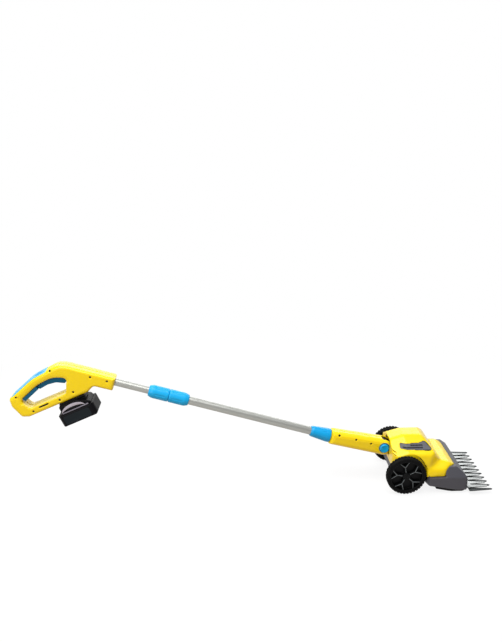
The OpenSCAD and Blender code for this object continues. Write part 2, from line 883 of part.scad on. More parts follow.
module tyre() {
    difference() {
        rotate_extrude() polygon(outline([
            [rim_r + seat_gap / 2, -wheel_w, 0.5],
            [tyre_r - 3, -wheel_w, 3],
            [tyre_r, -wheel_w + 4, 3],
            [tyre_r, -4, 3],
            [tyre_r - 3, 0, 3],
            [rim_r + seat_gap / 2, 0, 0.5],
        ], 4));
        for (i = [0:tread_n - 1]) rotate((i + 0.5) * 360 / tread_n)
            for (end = [0, -wheel_w]) translate([tyre_r, 0, end]) rotate([0, 0, 45])
                cube([3, 3, 12], center = true);
    }
}

module hub_cap() {
    translate([0, 0, hub_out + 0.2]) difference() {
        rotate_extrude() polygon(outline([
            [0, 0, 0],
            [hub_r - 0.5, 0, 0],
            [hub_r - 1, 3.4, 1.5],
            [0, 3.9, 0],
        ], 4));
        translate([0, 0, -over]) cylinder(r = axle_d / 2 + 2.5, h = 2.2 + over);
    }
}

module near_rim() color(black) near_side() rim();
module near_tyre() color(black) near_side() tyre();
module near_hub_cap() color(black) near_side() hub_cap();
module far_rim() color(black) far_side() rim();
module far_tyre() color(black) far_side() tyre();
module far_hub_cap() color(black) far_side() hub_cap();

module wheel_axle() {
    axle_half = track_w / 2 + hub_out + 1.8;
    color(steel) at_axle() cross_bar(0, axle_z, axle_d / 2, -axle_half, axle_half);
}

module axle_clips() {
    clip_in = track_w / 2 + hub_out + slide_gap;
    color(steel) at_axle() for (side = [-1, 1]) translate([0, side * (clip_in + 0.5), axle_z])
        rotate([90, 0, 0]) difference() {
            cylinder(r = axle_d / 2 + 2, h = 1, center = true);
            cylinder(r = axle_d / 2 + seat_gap / 2, h = 3, center = true);
        }
}

// Arm

arm_rim = 13;
arm_corners = [
    [-arm_len, -arm_h / 2 - pole_drop, 3],
    [arm_end_r, -arm_end_r, arm_end_r * 0.92],
    [arm_end_r, arm_end_r, arm_end_r * 0.92],
    [-arm_len, arm_h / 2 - pole_drop, 3],
];

// The sector of the arm's rim that the yoke's neck passes through
module yoke_sweep() {
    reach = arm_end_r + 6;
    lead = asin((neck_half + 2) / yoke_r);
    from = pole_tilt - lead;
    to = pole_tilt + tilt_range + lead;
    fan = [for (i = [0:12]) from + (to - from) * i / 12];
    slab(concat([[0, 0]], [for (a = fan) reach * 1.3 * [cos(a), sin(a)]]), yoke_w / 2 + slide_gap);
}

module arm_body() {
    difference() {
        moulded(arm_corners, arm_w / 2, arm_rim);
        difference() {
            moulded(inset(arm_corners, wall), arm_w / 2 - wall, arm_rim - wall);
            for (at = arm_rib_at) translate([-at - arm_rib_t / 2, -arm_w, -arm_w * 2])
                cube([arm_rib_t, 2 * arm_w, 4 * arm_w]);
            for (at = arm_screw_at) cross_bar(-at, arm_screw_w, 4.5, -arm_w / 2, arm_w / 2);
            cross_bar(0, 0, boss_r, -arm_w / 2, -cheek_near);
            cross_bar(0, 0, boss_r, cheek_far, arm_w / 2);
        }
        yoke_sweep();
        cross_bar(0, 0, yoke_r + 1.5, -cheek_near, cheek_far);
        translate([-tube_start, 0, -pole_drop]) rotate([0, -90, 0])
            cylinder(r = tube_r + seat_gap / 2, h = arm_len);
        cross_bar(0, 0, pin_r + run_gap, -arm_w, arm_w / 2 - 3.5);
        cross_bar(0, 0, button_r + slide_gap, -arm_w, -button_floor);
        for (at = arm_screw_at) {
            cross_bar(-at, arm_screw_w, screw_r + seat_gap, -arm_w, arm_w / 2 - 6);
            cross_bar(-at, arm_screw_w, screw_head_r + seat_gap, -arm_w, -arm_w / 2 + 5);
        }
    }
}

module arm_spigot_ring() {
    translate([-arm_len + seat_gap, 0, -pole_drop]) rotate([0, -90, 0])
        tube(spigot_r, tube_r + seat_gap / 2, -2, arm_spigot);
}

module arm_near() color(yellow) on_pole() near_half() { arm_body(); arm_spigot_ring(); }
module arm_far() color(yellow) on_pole() far_half() { arm_body(); arm_spigot_ring(); }

module arm_screws() {
    color(dark_grey) on_pole() for (at = arm_screw_at) {
        cross_bar(-at, arm_screw_w, screw_head_r, -arm_w / 2 + 2.6, -arm_w / 2 + 5 - seat_gap);
        cross_bar(-at, arm_screw_w, screw_r, -arm_w / 2 + 4, arm_w / 2 - 6.5);
    }
}

module pivot_button() {
    color(blue) on_pole() translate([0, -button_floor - button_travel - 0.5, 0]) rotate([90, 0, 0])
        rotate_extrude() polygon(outline([
            [0, 0, 0],
            [button_r, 0, 0.4],
            [button_r, 6, 1.2],
            [button_r - 3, 6.6, 1],
            [0, 7.2, 0],
        ], 4));
}

// Pole

module lower_collar() {
    tip_r = collar_d / 2 - 4;
    color(blue) along_pole(collar_at) difference() {
        rotate_extrude() polygon(outline([
            [tube_r + slide_gap, 0, 0],
            [collar_d / 2, 0, 2],
            [collar_d / 2, 10, 20],
            [tip_r, collar_len - 6, 6],
            [tube_r + 2, collar_len, 1],
            [tube_r + slide_gap, collar_len, 0],
        ], 5));
        translate([0, 0, -over]) cylinder(r = spigot_r + slide_gap, h = arm_spigot + slide_gap + over);
        for (i = [0:3]) rotate(45 + i * 90) translate([collar_d / 2 - 0.6, 0, collar_len * 0.45])
            cube([3, 2.4, collar_len * 0.45], center = true);
    }
}

module lower_tube() {
    color(tube_grey) along_pole(0)
        tube(tube_r, tube_r - tube_wall, tube_start + seat_gap, sleeve_at + sleeve_half - 6);
}

module upper_tube() {
    neck_screw = handle_screw_at[3];
    color(tube_grey) difference() {
        along_pole(0)
            tube(inner_r, inner_r - tube_wall, sleeve_at - tube_overlap, neck_at + tube_end - seat_gap);
        on_handle() cross_bar(neck_screw[0], neck_screw[1], screw_r + seat_gap, -handle_w, handle_w);
    }
}

// Half of the locking sleeve's outside, from its seam to its tapered end
function sleeve_profile(r_in) = [
    [r_in, 0, 0],
    [sleeve_d / 2 - 1.4, 0, 0.5],
    [sleeve_d / 2, 3, 1],
    [sleeve_d / 2, sleeve_half - 12, 20],
    [sleeve_d / 2 - 3.5, sleeve_half - 2, 2.5],
    [sleeve_d / 2 - 6, sleeve_half - 0.5, 0.5],
    [r_in, sleeve_half - 0.5, 0],
];
sleeve_rib_n = 6;

module sleeve_grooves() {
    for (i = [0:sleeve_rib_n - 1]) rotate((i + 0.5) * 360 / sleeve_rib_n)
        translate([sleeve_d / 2, 0, sleeve_half * 0.42]) cube([1.6, 5, sleeve_half * 0.5], center = true);
}

module sleeve_body() {
    seam = sleeve_at + sleeve_half;
    color(blue) along_pole(seam) {
        mirror([0, 0, 1]) difference() {
            rotate_extrude() polygon(outline(sleeve_profile(inner_r + slide_gap), 4));
            translate([0, 0, 6 - seat_gap]) cylinder(r = tube_r + seat_gap / 2, h = sleeve_len);
            sleeve_grooves();
        }
        tube(spigot_r, inner_r + slide_gap, -over, sleeve_spigot);
    }
}

module sleeve_nut() {
    seam = sleeve_at + sleeve_half;
    color(blue) along_pole(seam + 0.5) difference() {
        rotate_extrude() polygon(outline(sleeve_profile(inner_r + slide_gap), 4));
        translate([0, 0, -over])
            cylinder(r = spigot_r + slide_gap, h = sleeve_spigot + collet_len + 1 + over);
        sleeve_grooves();
    }
}

module pole_collet() {
    color(black) along_pole(sleeve_at + sleeve_half + sleeve_spigot) difference() {
        rotate_extrude() polygon([
            [inner_r + slide_gap, seat_gap],
            [spigot_r - seat_gap, seat_gap],
            [spigot_r - seat_gap, collet_len - 5],
            [spigot_r - 2, collet_len],
            [inner_r + slide_gap, collet_len],
        ]);
        translate([0, 0, collet_len]) cube([2 * tube_d, 1.5, collet_len], center = true);
    }
}

// Handle

module loop_hole(d) slab(outline(inset(loop_corners, d)), handle_w);

module handle_form() {
    difference() {
        moulded(handle_corners, handle_half, handle_rim);
        loop_hole(0);
    }
}

// Room inside the handle, stepped under the rounded rims
module handle_room() {
    step = handle_rim / 3;
    difference() {
        union() {
            slab(outline(inset(handle_corners, handle_wall)), handle_half - handle_wall - step);
            slab(outline(inset(handle_corners, handle_wall + step)), handle_half - handle_wall);
        }
        loop_hole(-handle_wall);
    }
}

// Band along the outside of the handle
module handle_band(d0, d1) {
    difference() {
        polygon(outline(inset(handle_corners, d0)));
        polygon(outline(inset(handle_corners, d1)));
    }
}

// Stretch of the back that the top grip covers
module grip_zone(d) {
    front = back_at + (grip_start - d) * back_way;
    rear = [d - 0.981 * handle_len, -(grip_drop - 10) - d];
    rear_way = toward(handle_corners[3], handle_corners[4]);
    reach = 22;
    polygon([
        front + reach * [-back_way[1], back_way[0]],
        front - reach * [-back_way[1], back_way[0]],
        rear - reach * [-rear_way[1], rear_way[0]],
        rear + reach * [-rear_way[1], rear_way[0]],
    ]);
}

module grip_slab(d0, d1, half_w, d = 0) {
    rotate([90, 0, 0]) linear_extrude(2 * half_w, center = true) intersection() {
        handle_band(d0, d1);
        grip_zone(d);
    }
}

module safety_frame() {
    at = back_at + safety_mid * back_way;
    translate([at[0], 0, at[1]]) rotate([0, -back_slope, 0]) children();
}

module safety_slot() {
    half_len = safety_half_len + slide_gap;
    half = safety_half + slide_gap;
    safety_frame() translate([-half_len, -half, -safety_deep - safety_travel - 1])
        cube([2 * half_len, 2 * half, 40]);
}

// Way of the trigger from rest to its end stop
module trigger_sweep() {
    rotate([90, 0, 0]) linear_extrude(2 * (trigger_half + slide_gap), center = true)
        for (part = [0:0.125:1])
            translate(trigger_pin_at) rotate(-trigger_turn * part) translate(-trigger_pin_at)
                polygon(outline(inset(trigger_corners, -rest_gap), 4));
}

module trigger_bosses() {
    boss = trigger_half + slide_gap;
    for (y = [[-handle_half, -boss], [boss, handle_half]])
        cross_bar(trigger_pin_at[0], trigger_pin_at[1], 4.5, y[0], y[1]);
}

module handle_body() {
    slot_at = -0.641 * handle_len;
    difference() {
        handle_form();
        difference() {
            handle_room();
            for (at = neck_rib_at) translate([-at - neck_rib_t / 2, -handle_w, -handle_w])
                cube([neck_rib_t, 2 * handle_w, 2 * handle_w]);
            for (at = handle_screw_at) cross_bar(at[0], at[1], 4, -handle_half, handle_half);
            trigger_bosses();
            grip_slab(0, grip_t + grip_backing, grip_half + grip_backing, grip_backing);
        }
        grip_slab(-over, grip_t + seat_gap, grip_half + seat_gap, seat_gap);
        translate([over, 0, 0]) rotate([0, -90, 0]) cylinder(r = inner_r + seat_gap / 2, h = tube_end + over);
        cross_bar(trigger_pin_at[0], trigger_pin_at[1], trigger_pin_r + seat_gap / 2,
            -trigger_pin_half - slide_gap, trigger_pin_half + slide_gap);
        trigger_sweep();
        safety_slot();
        for (at = handle_screw_at) {
            cross_bar(at[0], at[1], screw_r + seat_gap, -handle_w, handle_half - 6);
            cross_bar(at[0], at[1], screw_head_r + seat_gap, -handle_w, 4.5 - handle_half);
        }
        // Slot in the strut
        translate([slot_at, -handle_half, strut_top(slot_at) - 7]) rotate([0, -rail_slope, 0])
            cube([30, 4, 4], center = true);
    }
}

module handle_near() color(yellow) on_handle() near_half() handle_body();
module handle_far() color(yellow) on_handle() far_half() handle_body();

module handle_screws() {
    color(dark_grey) on_handle() for (at = handle_screw_at) {
        cross_bar(at[0], at[1], screw_head_r, 2.5 - handle_half, 4.5 - seat_gap - handle_half);
        cross_bar(at[0], at[1], screw_r, 4 - handle_half, handle_half - 6.5);
    }
}

module top_grip() {
    color(blue) on_handle() difference() {
        grip_slab(0, grip_t, grip_half);
        safety_slot();
    }
}

module safety_button() {
    color(teal) on_handle() safety_frame() slab(outline([
        [-safety_half_len, -safety_deep, 1],
        [safety_half_len, -safety_deep, 1],
        [safety_half_len, safety_proud - 1, 1],
        [safety_half_len - 6, safety_proud, 8],
        [6 - safety_half_len, safety_proud, 8],
        [-safety_half_len, safety_proud - 1, 1],
    ], 3), safety_half);
}

// Lip on the loop's upper edge behind the trigger
module grip_liner() {
    end = [-0.748 * handle_len, -64];
    color(teal) on_handle() rotate([90, 0, 0]) linear_extrude(2 * liner_half, center = true) intersection() {
        difference() {
            polygon(outline(inset(loop_corners, seat_gap)));
            polygon(outline(inset(loop_corners, liner_t)));
        }
        polygon([
            end,
            end + [-40, 16],
            [-handle_len - 20, -(grip_drop - 10)],
            [-0.817 * handle_len, -(grip_drop - 10)],
            end + [14, -6],
        ]);
    }
}

module trigger() {
    color(teal) on_handle() difference() {
        slab(outline(trigger_corners, 4), trigger_half);
        cross_bar(trigger_pin_at[0], trigger_pin_at[1], trigger_pin_r + run_gap, -handle_w, handle_w);
    }
}

module trigger_pin() {
    color(steel) on_handle() cross_bar(trigger_pin_at[0], trigger_pin_at[1], trigger_pin_r,
        -trigger_pin_half, trigger_pin_half);
}

module trigger_switch() {
    inside = handle_half - handle_wall - seat_gap;
    color(black) on_handle() translate([-0.573 * handle_len, -inside, -1]) cube([16, 2 * inside, 8]);
}

// Battery and the shoe that holds it

module battery_shoe() {
    color(black) on_rail() {
        translate([shoe_back, -shoe_half, -shoe_t - seat_gap])
            cube([shoe_front - shoe_back, 2 * shoe_half, shoe_t]);
        translate([shoe_back, -rail_neck_half, -shoe_t - rail_neck - seat_gap])
            cube([shoe_front - shoe_back, 2 * rail_neck_half, rail_neck + 0.2]);
        translate([shoe_back, -rail_half, -shoe_t - rail_neck - rail_t - seat_gap])
            cube([shoe_front - shoe_back, 2 * rail_half, rail_t]);
    }
}

lid_top = -shoe_t - seat_gap - slide_gap;
block_top = -lid_h;
block_low = -lid_h - battery_h;

module battery_lid() {
    slot_back = shoe_back - slide_gap;
    slot_low = -shoe_t - rail_neck - rail_t - seat_gap - slide_gap;
    color(black) on_rail() difference() {
        intersection() {
            slab(outline([
                [lid_back, block_top + seat_gap, 0],
                [lid_front, block_top + seat_gap, 0],
                [lid_front - 5, block_top + 8, 10],
                [lid_front - 36, lid_top, 26],
                [lid_back + 3, lid_top, 6],
            ]), lid_w);
            bar(outline(both_sides([
                [lid_w / 2, block_top, 0],
                [lid_w / 2 - 2, lid_top, 5],
            ])), lid_back - over, lid_front + over);
            translate([0, 0, block_top]) linear_extrude(lid_h)
                polygon(outline(end_plan(lid_back, lid_front, lid_w / 2, battery_round)));
        }
        translate([slot_back, -rail_half - slide_gap, slot_low])
            cube([battery_len, 2 * (rail_half + slide_gap), rail_t + 2 * slide_gap]);
        translate([slot_back, -rail_neck_half - slide_gap, slot_low])
            cube([battery_len, 2 * (rail_neck_half + slide_gap), lid_h]);
    }
}

// Plan with rounded corners
function end_plan(back, front, half, r) =
    [[back, -half, r], [front, -half, r], [front, half, r], [back, half, r]];

module battery_block(d) {
    intersection() {
        translate([0, 0, block_low - over]) linear_extrude(battery_h + 2 * over)
            polygon(outline(inset(end_plan(battery_back, battery_front, battery_w / 2, battery_round), d)));
        slab(outline(inset([
            [battery_back, block_low, 7],
            [battery_front, block_low, 7],
            [battery_front, block_top, 4],
            [battery_back, block_top, 4],
        ], d)), battery_w);
        bar(outline(inset(both_sides([
            [battery_w / 2, block_low, 5],
            [battery_w / 2, block_top, 6],
        ]), d)), battery_back - over, battery_front + over);
    }
}

release_w = 30;
release_h = 8;
release_z = block_low + battery_wall + cell_d + 1.5 + release_h / 2;

module battery_tub() {
    color(black) on_rail() difference() {
        battery_block(0);
        battery_block(battery_wall);
        translate([battery_back - over, -release_w / 2 - slide_gap, release_z - release_h / 2 - slide_gap])
            cube([battery_wall + 2 * over, release_w + 2 * slide_gap, release_h + 2 * slide_gap]);
    }
}

module battery_cells() {
    pitch = (battery_len - 2 * (battery_wall + cell_margin)) / cell_n;
    low = block_low + battery_wall + seat_gap;
    color(blue) on_rail() for (i = [0:cell_n - 1])
        cross_bar(battery_front - battery_wall - cell_margin - pitch * (i + 0.5), low + cell_d / 2,
            cell_d / 2, -cell_len / 2, cell_len / 2);
}

module battery_release() {
    color(dark_grey) on_rail()
        translate([battery_back - release_travel + 1, -release_w / 2, release_z - release_h / 2])
            cube([battery_wall + release_travel + 1, release_w, release_h]);
}

head_shell();
base_housing();
base_cover();
vent_near();
vent_far();
fixed_blade();
moving_blade();
blade_screws();
crank_gear();
gear_stud();
motor_mount();
motor_can();
motor_shaft();
hinge_yoke();
pivot_pin();
detent_plate();
wheel_axle();
axle_clips();
near_rim();
near_tyre();
near_hub_cap();
far_rim();
far_tyre();
far_hub_cap();
arm_near();
arm_far();
arm_screws();
pivot_button();
lower_collar();
lower_tube();
sleeve_body();
sleeve_nut();
pole_collet();
upper_tube();
handle_near();
handle_far();
handle_screws();
top_grip();
grip_liner();
trigger();
trigger_pin();
trigger_switch();
safety_button();
battery_shoe();
battery_lid();
battery_tub();
battery_cells();
battery_release();
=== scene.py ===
"""Cordless grass shears: finishes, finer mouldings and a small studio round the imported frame."""

from __future__ import annotations

import json
import logging
import math
from collections.abc import Callable, Iterable, Sequence
from dataclasses import dataclass, field
from enum import Enum

import bpy
from mathutils import Matrix, Vector

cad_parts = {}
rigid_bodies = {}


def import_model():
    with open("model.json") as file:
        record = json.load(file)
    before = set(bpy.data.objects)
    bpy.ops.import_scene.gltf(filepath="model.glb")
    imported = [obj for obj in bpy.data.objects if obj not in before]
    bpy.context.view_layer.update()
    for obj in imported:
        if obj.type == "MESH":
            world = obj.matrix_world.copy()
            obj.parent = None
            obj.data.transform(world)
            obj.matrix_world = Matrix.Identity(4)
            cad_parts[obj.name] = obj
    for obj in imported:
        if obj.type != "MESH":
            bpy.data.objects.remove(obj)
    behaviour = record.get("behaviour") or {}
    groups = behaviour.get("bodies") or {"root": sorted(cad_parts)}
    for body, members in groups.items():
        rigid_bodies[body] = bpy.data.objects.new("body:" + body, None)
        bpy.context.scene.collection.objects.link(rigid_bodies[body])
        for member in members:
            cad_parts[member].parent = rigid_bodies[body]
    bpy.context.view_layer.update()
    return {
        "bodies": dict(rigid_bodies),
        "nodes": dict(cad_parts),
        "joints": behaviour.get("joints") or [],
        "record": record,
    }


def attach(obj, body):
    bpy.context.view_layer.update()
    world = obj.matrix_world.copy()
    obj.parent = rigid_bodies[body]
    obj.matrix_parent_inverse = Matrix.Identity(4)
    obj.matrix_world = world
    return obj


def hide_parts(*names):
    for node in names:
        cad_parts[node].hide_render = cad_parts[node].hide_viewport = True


LOG = logging.getLogger("grass_shears")
MM = 0.001
# Tilt of the pole at rest, in degrees.
POLE_TILT = 16.5
# Least part of a face's normal along an axis that counts as facing that way.
FACING = 0.9
# Slack in millimetres where points and edges are picked by their place.
NEAR = 0.1
# Least turn between two faces that counts as a sharp edge, in degrees.
SHARP = 40.0
# Share of the way that one round of smoothing moves a point.
SMOOTHING = 0.5
# Average of a noise texture.
NOISE_MEAN = 0.5
WHITE = (1.0, 1.0, 1.0, 1.0)

Colour = tuple[int, int, int]
Light = tuple[float, float, float, float]
Pair = tuple[float, float]
Point = tuple[float, float, float]
Corner = tuple[float, int]
Profile = Sequence[Pair]
Piece = bpy.types.Object
Socket = bpy.types.NodeSocket


def linear(colour: Colour) -> Light:
    """A colour of 0 to 255 as the linear light that a shader takes.

    Args:
        colour: red, green and blue as seen on a screen.

    Returns:
        The four numbers of a colour socket.
    """
    parts = [c / 255 for c in colour]
    red, green, blue = [c / 12.92 if c <= 0.04045 else ((c + 0.055) / 1.055) ** 2.4 for c in parts]
    return red, green, blue, 1.0


class Number:
    """A socket that holds a number, so that shader maths reads as Python."""

    def __init__(self, graph: Graph, socket: Socket) -> None:
        """Keeps the socket and the graph that new nodes go into."""
        self.graph = graph
        self.socket = socket

    def _with(self, operation: str, first: object, second: object) -> Number:
        """The result of a Math node on two values or links."""
        node = self.graph.add("ShaderNodeMath", {"operation": operation}, {0: first, 1: second})
        return Number(self.graph, node.outputs[0])

    def __add__(self, other: object) -> Number:
        """Sum with a number or a link."""
        return self._with("ADD", self, other)

    def __radd__(self, other: object) -> Number:
        """Sum with the number on the left."""
        return self._with("ADD", other, self)

    def __sub__(self, other: object) -> Number:
        """Difference from a number or a link."""
        return self._with("SUBTRACT", self, other)

    def __rsub__(self, other: object) -> Number:
        """Difference with the number on the left."""
        return self._with("SUBTRACT", other, self)

    def __mul__(self, other: object) -> Number:
        """Product with a number or a link."""
        return self._with("MULTIPLY", self, other)

    def __rmul__(self, other: object) -> Number:
        """Product with the number on the left."""
        return self._with("MULTIPLY", other, self)

    def __gt__(self, other: object) -> Number:
        """One where this is the greater, and nought elsewhere."""
        return self._with("GREATER_THAN", self, other)


class Graph:
    """The nodes of a material or of the world, and the one way in which they are added."""

    OCTAVE_SHARE = 0.55

    def __init__(self, owner: bpy.types.Material | bpy.types.World) -> None:
        """Clears the nodes of a new material or world.

        Args:
            owner: what the nodes belong to.
        """
        owner.use_nodes = True
        self.owner = owner
        self.tree = owner.node_tree
        self.tree.nodes.clear()

    @classmethod
    def of_material(cls, name: str) -> Graph:
        """Starts an empty material of that name."""
        return cls(bpy.data.materials.new(name))

    def add(
        self, kind: str, settings: dict[str, object] | None = None, inputs: dict[object, object] | None = None
    ) -> bpy.types.Node:
        """Adds a node.

        Args:
            kind: the node's type.
            settings: its own settings, which are set first.
            inputs: values or links of its sockets, by name or number.

        Returns:
            The new node.
        """
        node = self.tree.nodes.new(kind)
        for key, value in (settings or {}).items():
            setattr(node, key, value)
        for key, value in (inputs or {}).items():
            self.feed(node.inputs[key], value)
        return node

    def feed(self, socket: Socket, value: object) -> None:
        """Links a socket, or sets its value.

        Args:
            socket: the input that is fed.
            value: a number, a link, or what the socket is set to.
        """
        if isinstance(value, Number):
            value = value.socket
        if isinstance(value, Socket):
            self.tree.links.new(value, socket)
        else:
            socket.default_value = value

    def place(self) -> Socket:
        """Coordinates of the piece's own frame."""
        return self.add("ShaderNodeTexCoord").outputs["Object"]

    def drawn(self, grains: Sequence[float], pitch: float = 0.0) -> Socket:
        """Coordinates for a pattern that is drawn out along some axes.

        Args:
            grains: grains to the metre along each axis.
            pitch: turn of those axes about Y, in degrees.

        Returns:
            The vector socket.
        """
        node = self.add("ShaderNodeMapping", {"vector_type": "TEXTURE"}, {
            "Vector": self.place(),
            "Rotation": (0.0, math.radians(pitch), 0.0),
            "Scale": [1.0 / g for g in grains],
        })
        return node.outputs["Vector"]

    def noise(self, scale: float, detail: float = 2.0, place: Socket | None = None) -> Number:
        """Noise of a size.

        Args:
            scale: grains to the metre.
            detail: octaves of finer noise.
            place: coordinates, or the piece's own.

        Returns:
            Its value, about one half on average.
        """
        node = self.add("ShaderNodeTexNoise", None, {
            "Vector": place or self.place(),
            "Scale": scale,
            "Detail": detail,
            "Roughness": self.OCTAVE_SHARE,
        })
        return Number(self, node.outputs["Fac"])

    def between(self, factor: Number, first: object, second: object) -> Socket:
        """A colour mixed from two.

        Args:
            factor: share of the second.
            first: a colour or a link.
            second: the other one.

        Returns:
            The colour socket.
        """
        # Sockets 6 and 7 of a Mix node and its output 2 are those for colours.
        settings = {"data_type": "RGBA", "clamp_factor": True}
        node = self.add("ShaderNodeMix", settings, {"Factor": factor, 6: first, 7: second})
        return node.outputs[2]

    def bump(self, height: Number, depth: float, strength: float = 1.0) -> Socket:
        """A normal from a height.

        Args:
            height: what stands up, from nought to one.
            depth: its full height in metres.
            strength: share of it that shows.

        Returns:
            The normal socket.
        """
        inputs = {"Height": height, "Distance": depth, "Strength": strength}
        return self.add("ShaderNodeBump", None, inputs).outputs["Normal"]

    def surface(self, inputs: dict[str, object]) -> bpy.types.Material:
        """Ends the graph in a principled surface.

        Args:
            inputs: values or links of the surface's sockets.

        Returns:
            The material.
        """
        shader = self.add("ShaderNodeBsdfPrincipled", None, inputs)
        self.add("ShaderNodeOutputMaterial", None, {"Surface": shader.outputs["BSDF"]})
        return self.owner


class Grain(Enum):
    """Surface that a mould leaves: grains to the metre, and their depth in metres."""

    GLOSSY = (700.0, 0.00001)
    SATIN = (1500.0, 0.00003)
    SPARKED = (1100.0, 0.00008)
    RUBBERY = (1900.0, 0.00006)


@dataclass(frozen=True)
class MouldedPlastic:
    """Moulded plastic: even colour, a mould's grain, and light scuffs that dull it in places."""

    name: str
    colour: Colour
    shade: Colour
    rough: float
    grain: Grain = Grain.SATIN
    coat: float = 0.0
    specular: float = 0.5
    coat_rough: float = 0.1
    refraction: float = 1.5
    clouds: float = 9.0
    cloud_tone: float = 0.5
    grain_tone: float = 0.18
    tone_floor: float = 0.12
    grain_rough: float = 0.14
    scuffs: float = 60.0
    scuff_stretch: Point = (1.0, 2.4, 1.7)
    scuff_floor: float = 0.56
    scuff_gain: float = 2.2
    scuff_rough: float = 0.35

    def build(self) -> bpy.types.Material:
        """Makes the material.

        Returns:
            The material.
        """
        graph = Graph.of_material(self.name)
        scale, depth = self.grain.value
        cloud = graph.noise(self.clouds, detail=3.0)
        fine = graph.noise(scale, detail=2.0)
        scuff = graph.noise(self.scuffs, detail=5.0, place=graph.drawn(self.scuff_stretch))
        worn = (scuff - self.scuff_floor) * self.scuff_gain
        tone = cloud * self.cloud_tone + fine * self.grain_tone - self.tone_floor
        grained = self.rough + (fine - NOISE_MEAN) * self.grain_rough
        return graph.surface({
            "Base Color": graph.between(tone, linear(self.colour), linear(self.shade)),
            "Roughness": grained + (worn > 0.0) * worn * self.scuff_rough,
            "Specular IOR Level": self.specular,
            "Coat Weight": self.coat,
            "Coat Roughness": self.coat_rough,
            "IOR": self.refraction,
            "Normal": graph.bump(fine, depth),
        })


@dataclass(frozen=True)
class Rubber:
    """Matt tyre rubber with a dusty bloom."""

    name: str
    colour: Colour
    bloom: Colour
    rough: float = 0.72
    specular: float = 0.1
    dust: float = 75.0
    dust_floor: float = 0.42
    dust_gain: float = 1.5
    dust_rough: float = 0.2

    def build(self) -> bpy.types.Material:
        """Makes the material.

        Returns:
            The material.
        """
        graph = Graph.of_material(self.name)
        scale, depth = Grain.RUBBERY.value
        fine = graph.noise(scale, detail=3.0)
        dust = graph.noise(self.dust, detail=6.0)
        tone = (dust - self.dust_floor) * self.dust_gain
        return graph.surface({
            "Base Color": graph.between(tone, linear(self.colour), linear(self.bloom)),
            "Roughness": self.rough + (dust - NOISE_MEAN) * self.dust_rough,
            "Specular IOR Level": self.specular,
            "Normal": graph.bump(fine, depth),
        })


@dataclass(frozen=True)
class BrushedMetal:
    """Metal with a grain drawn along one way, and tarnish in clouds."""

    name: str
    colour: Colour
    tarnish: Colour
    rough: float
    grains: Point
    pitch: float = 0.0
    metallic: float = 1.0
    clouds: float = 26.0
    cloud_tone: float = 0.6
    line_tone: float = 0.4
    tone_floor: float = 0.2
    line_rough: float = 0.22
    cloud_rough: float = 0.1
    line_depth: float = 0.00002
    line_strength: float = 0.7

    def build(self) -> bpy.types.Material:
        """Makes the material.

        Returns:
            The material.
        """
        graph = Graph.of_material(self.name)
        lines = graph.noise(1.0, detail=3.0, place=graph.drawn(self.grains, self.pitch))
        cloud = graph.noise(self.clouds, detail=4.0)
        tone = cloud * self.cloud_tone + lines * self.line_tone - self.tone_floor
        lined = self.rough + (lines - NOISE_MEAN) * self.line_rough
        return graph.surface({
            "Base Color": graph.between(tone, linear(self.colour), linear(self.tarnish)),
            "Metallic": self.metallic,
            "Roughness": lined + (cloud - NOISE_MEAN) * self.cloud_rough,
            "Normal": graph.bump(lines, self.line_depth, self.line_strength),
        })


Finish = MouldedPlastic | Rubber | BrushedMetal

YELLOW = MouldedPlastic("yellow_moulding", (252, 222, 14), (247, 208, 10), 0.33, Grain.SATIN, 0.2, 0.25)
SKIRT_GREY = MouldedPlastic("skirt_grey", (76, 76, 83), (66, 66, 73), 0.46, Grain.SPARKED, 0.0, 0.35)
VENT_GREY = MouldedPlastic("vent_grey", (99, 99, 105), (86, 86, 92), 0.5, Grain.SPARKED, 0.0, 0.3)
BLACK = MouldedPlastic("black_moulding", (14, 14, 16), (10, 10, 11), 0.45, Grain.SPARKED, 0.0, 0.15)
BATTERY_BLACK = MouldedPlastic("battery_black", (13, 12, 15), (9, 9, 11), 0.42, Grain.SATIN, 0.0, 0.09)
PANEL = MouldedPlastic("battery_panel_film", (14, 24, 29), (10, 18, 23), 0.3, Grain.GLOSSY, 0.0, 0.16)
# Pale glossy grey of the crescent is a painted highlight on the battery's black cover.
HIGHLIGHT_CRESCENT = MouldedPlastic("battery_crescent", (186, 180, 192), (128, 124, 136), 0.18, Grain.GLOSSY, 0.4)
# Pale grey of the lip is a painted highlight along the foot of the battery's black cover.
HIGHLIGHT_LIP = MouldedPlastic("battery_lip", (120, 116, 127), (102, 99, 109), 0.35)
WHEEL_BLACK = MouldedPlastic("wheel_black", (9, 9, 10), (6, 6, 7), 0.45, Grain.SATIN, 0.0, 0.1)
# Grey of the spoke ribs is a painted highlight along the edges of the black spokes.
HIGHLIGHT_RIB = MouldedPlastic("spoke_rib_grey", (104, 111, 114), (84, 90, 93), 0.4)
BLUE = MouldedPlastic("blue_moulding", (14, 164, 226), (8, 146, 208), 0.34, Grain.SATIN, 0.15, 0.2)
SLEEVE_BLUE = MouldedPlastic("sleeve_blue", (24, 172, 232), (16, 156, 216), 0.4, Grain.SATIN, 0.1, 0.2)
BUTTON_BLUE = MouldedPlastic("button_blue", (0, 168, 234), (0, 150, 220), 0.3, Grain.SATIN, 0.2)
BLUE_GRIP = MouldedPlastic("blue_grip_skin", (100, 192, 236), (84, 178, 226), 0.5, Grain.RUBBERY)
TEAL = MouldedPlastic("teal_moulding", (8, 92, 128), (6, 76, 108), 0.5, Grain.RUBBERY, 0.0, 0.2)
WRAP = MouldedPlastic("cell_wrap_skin", (30, 92, 148), (24, 78, 130), 0.3, Grain.GLOSSY)
TYRE = Rubber("tyre_rubber_skin", (10, 10, 11), (20, 20, 20))
SCREW_DARK = BrushedMetal("blackened_screw", (70, 66, 58), (44, 42, 38), 0.42, (900.0, 900.0, 900.0))
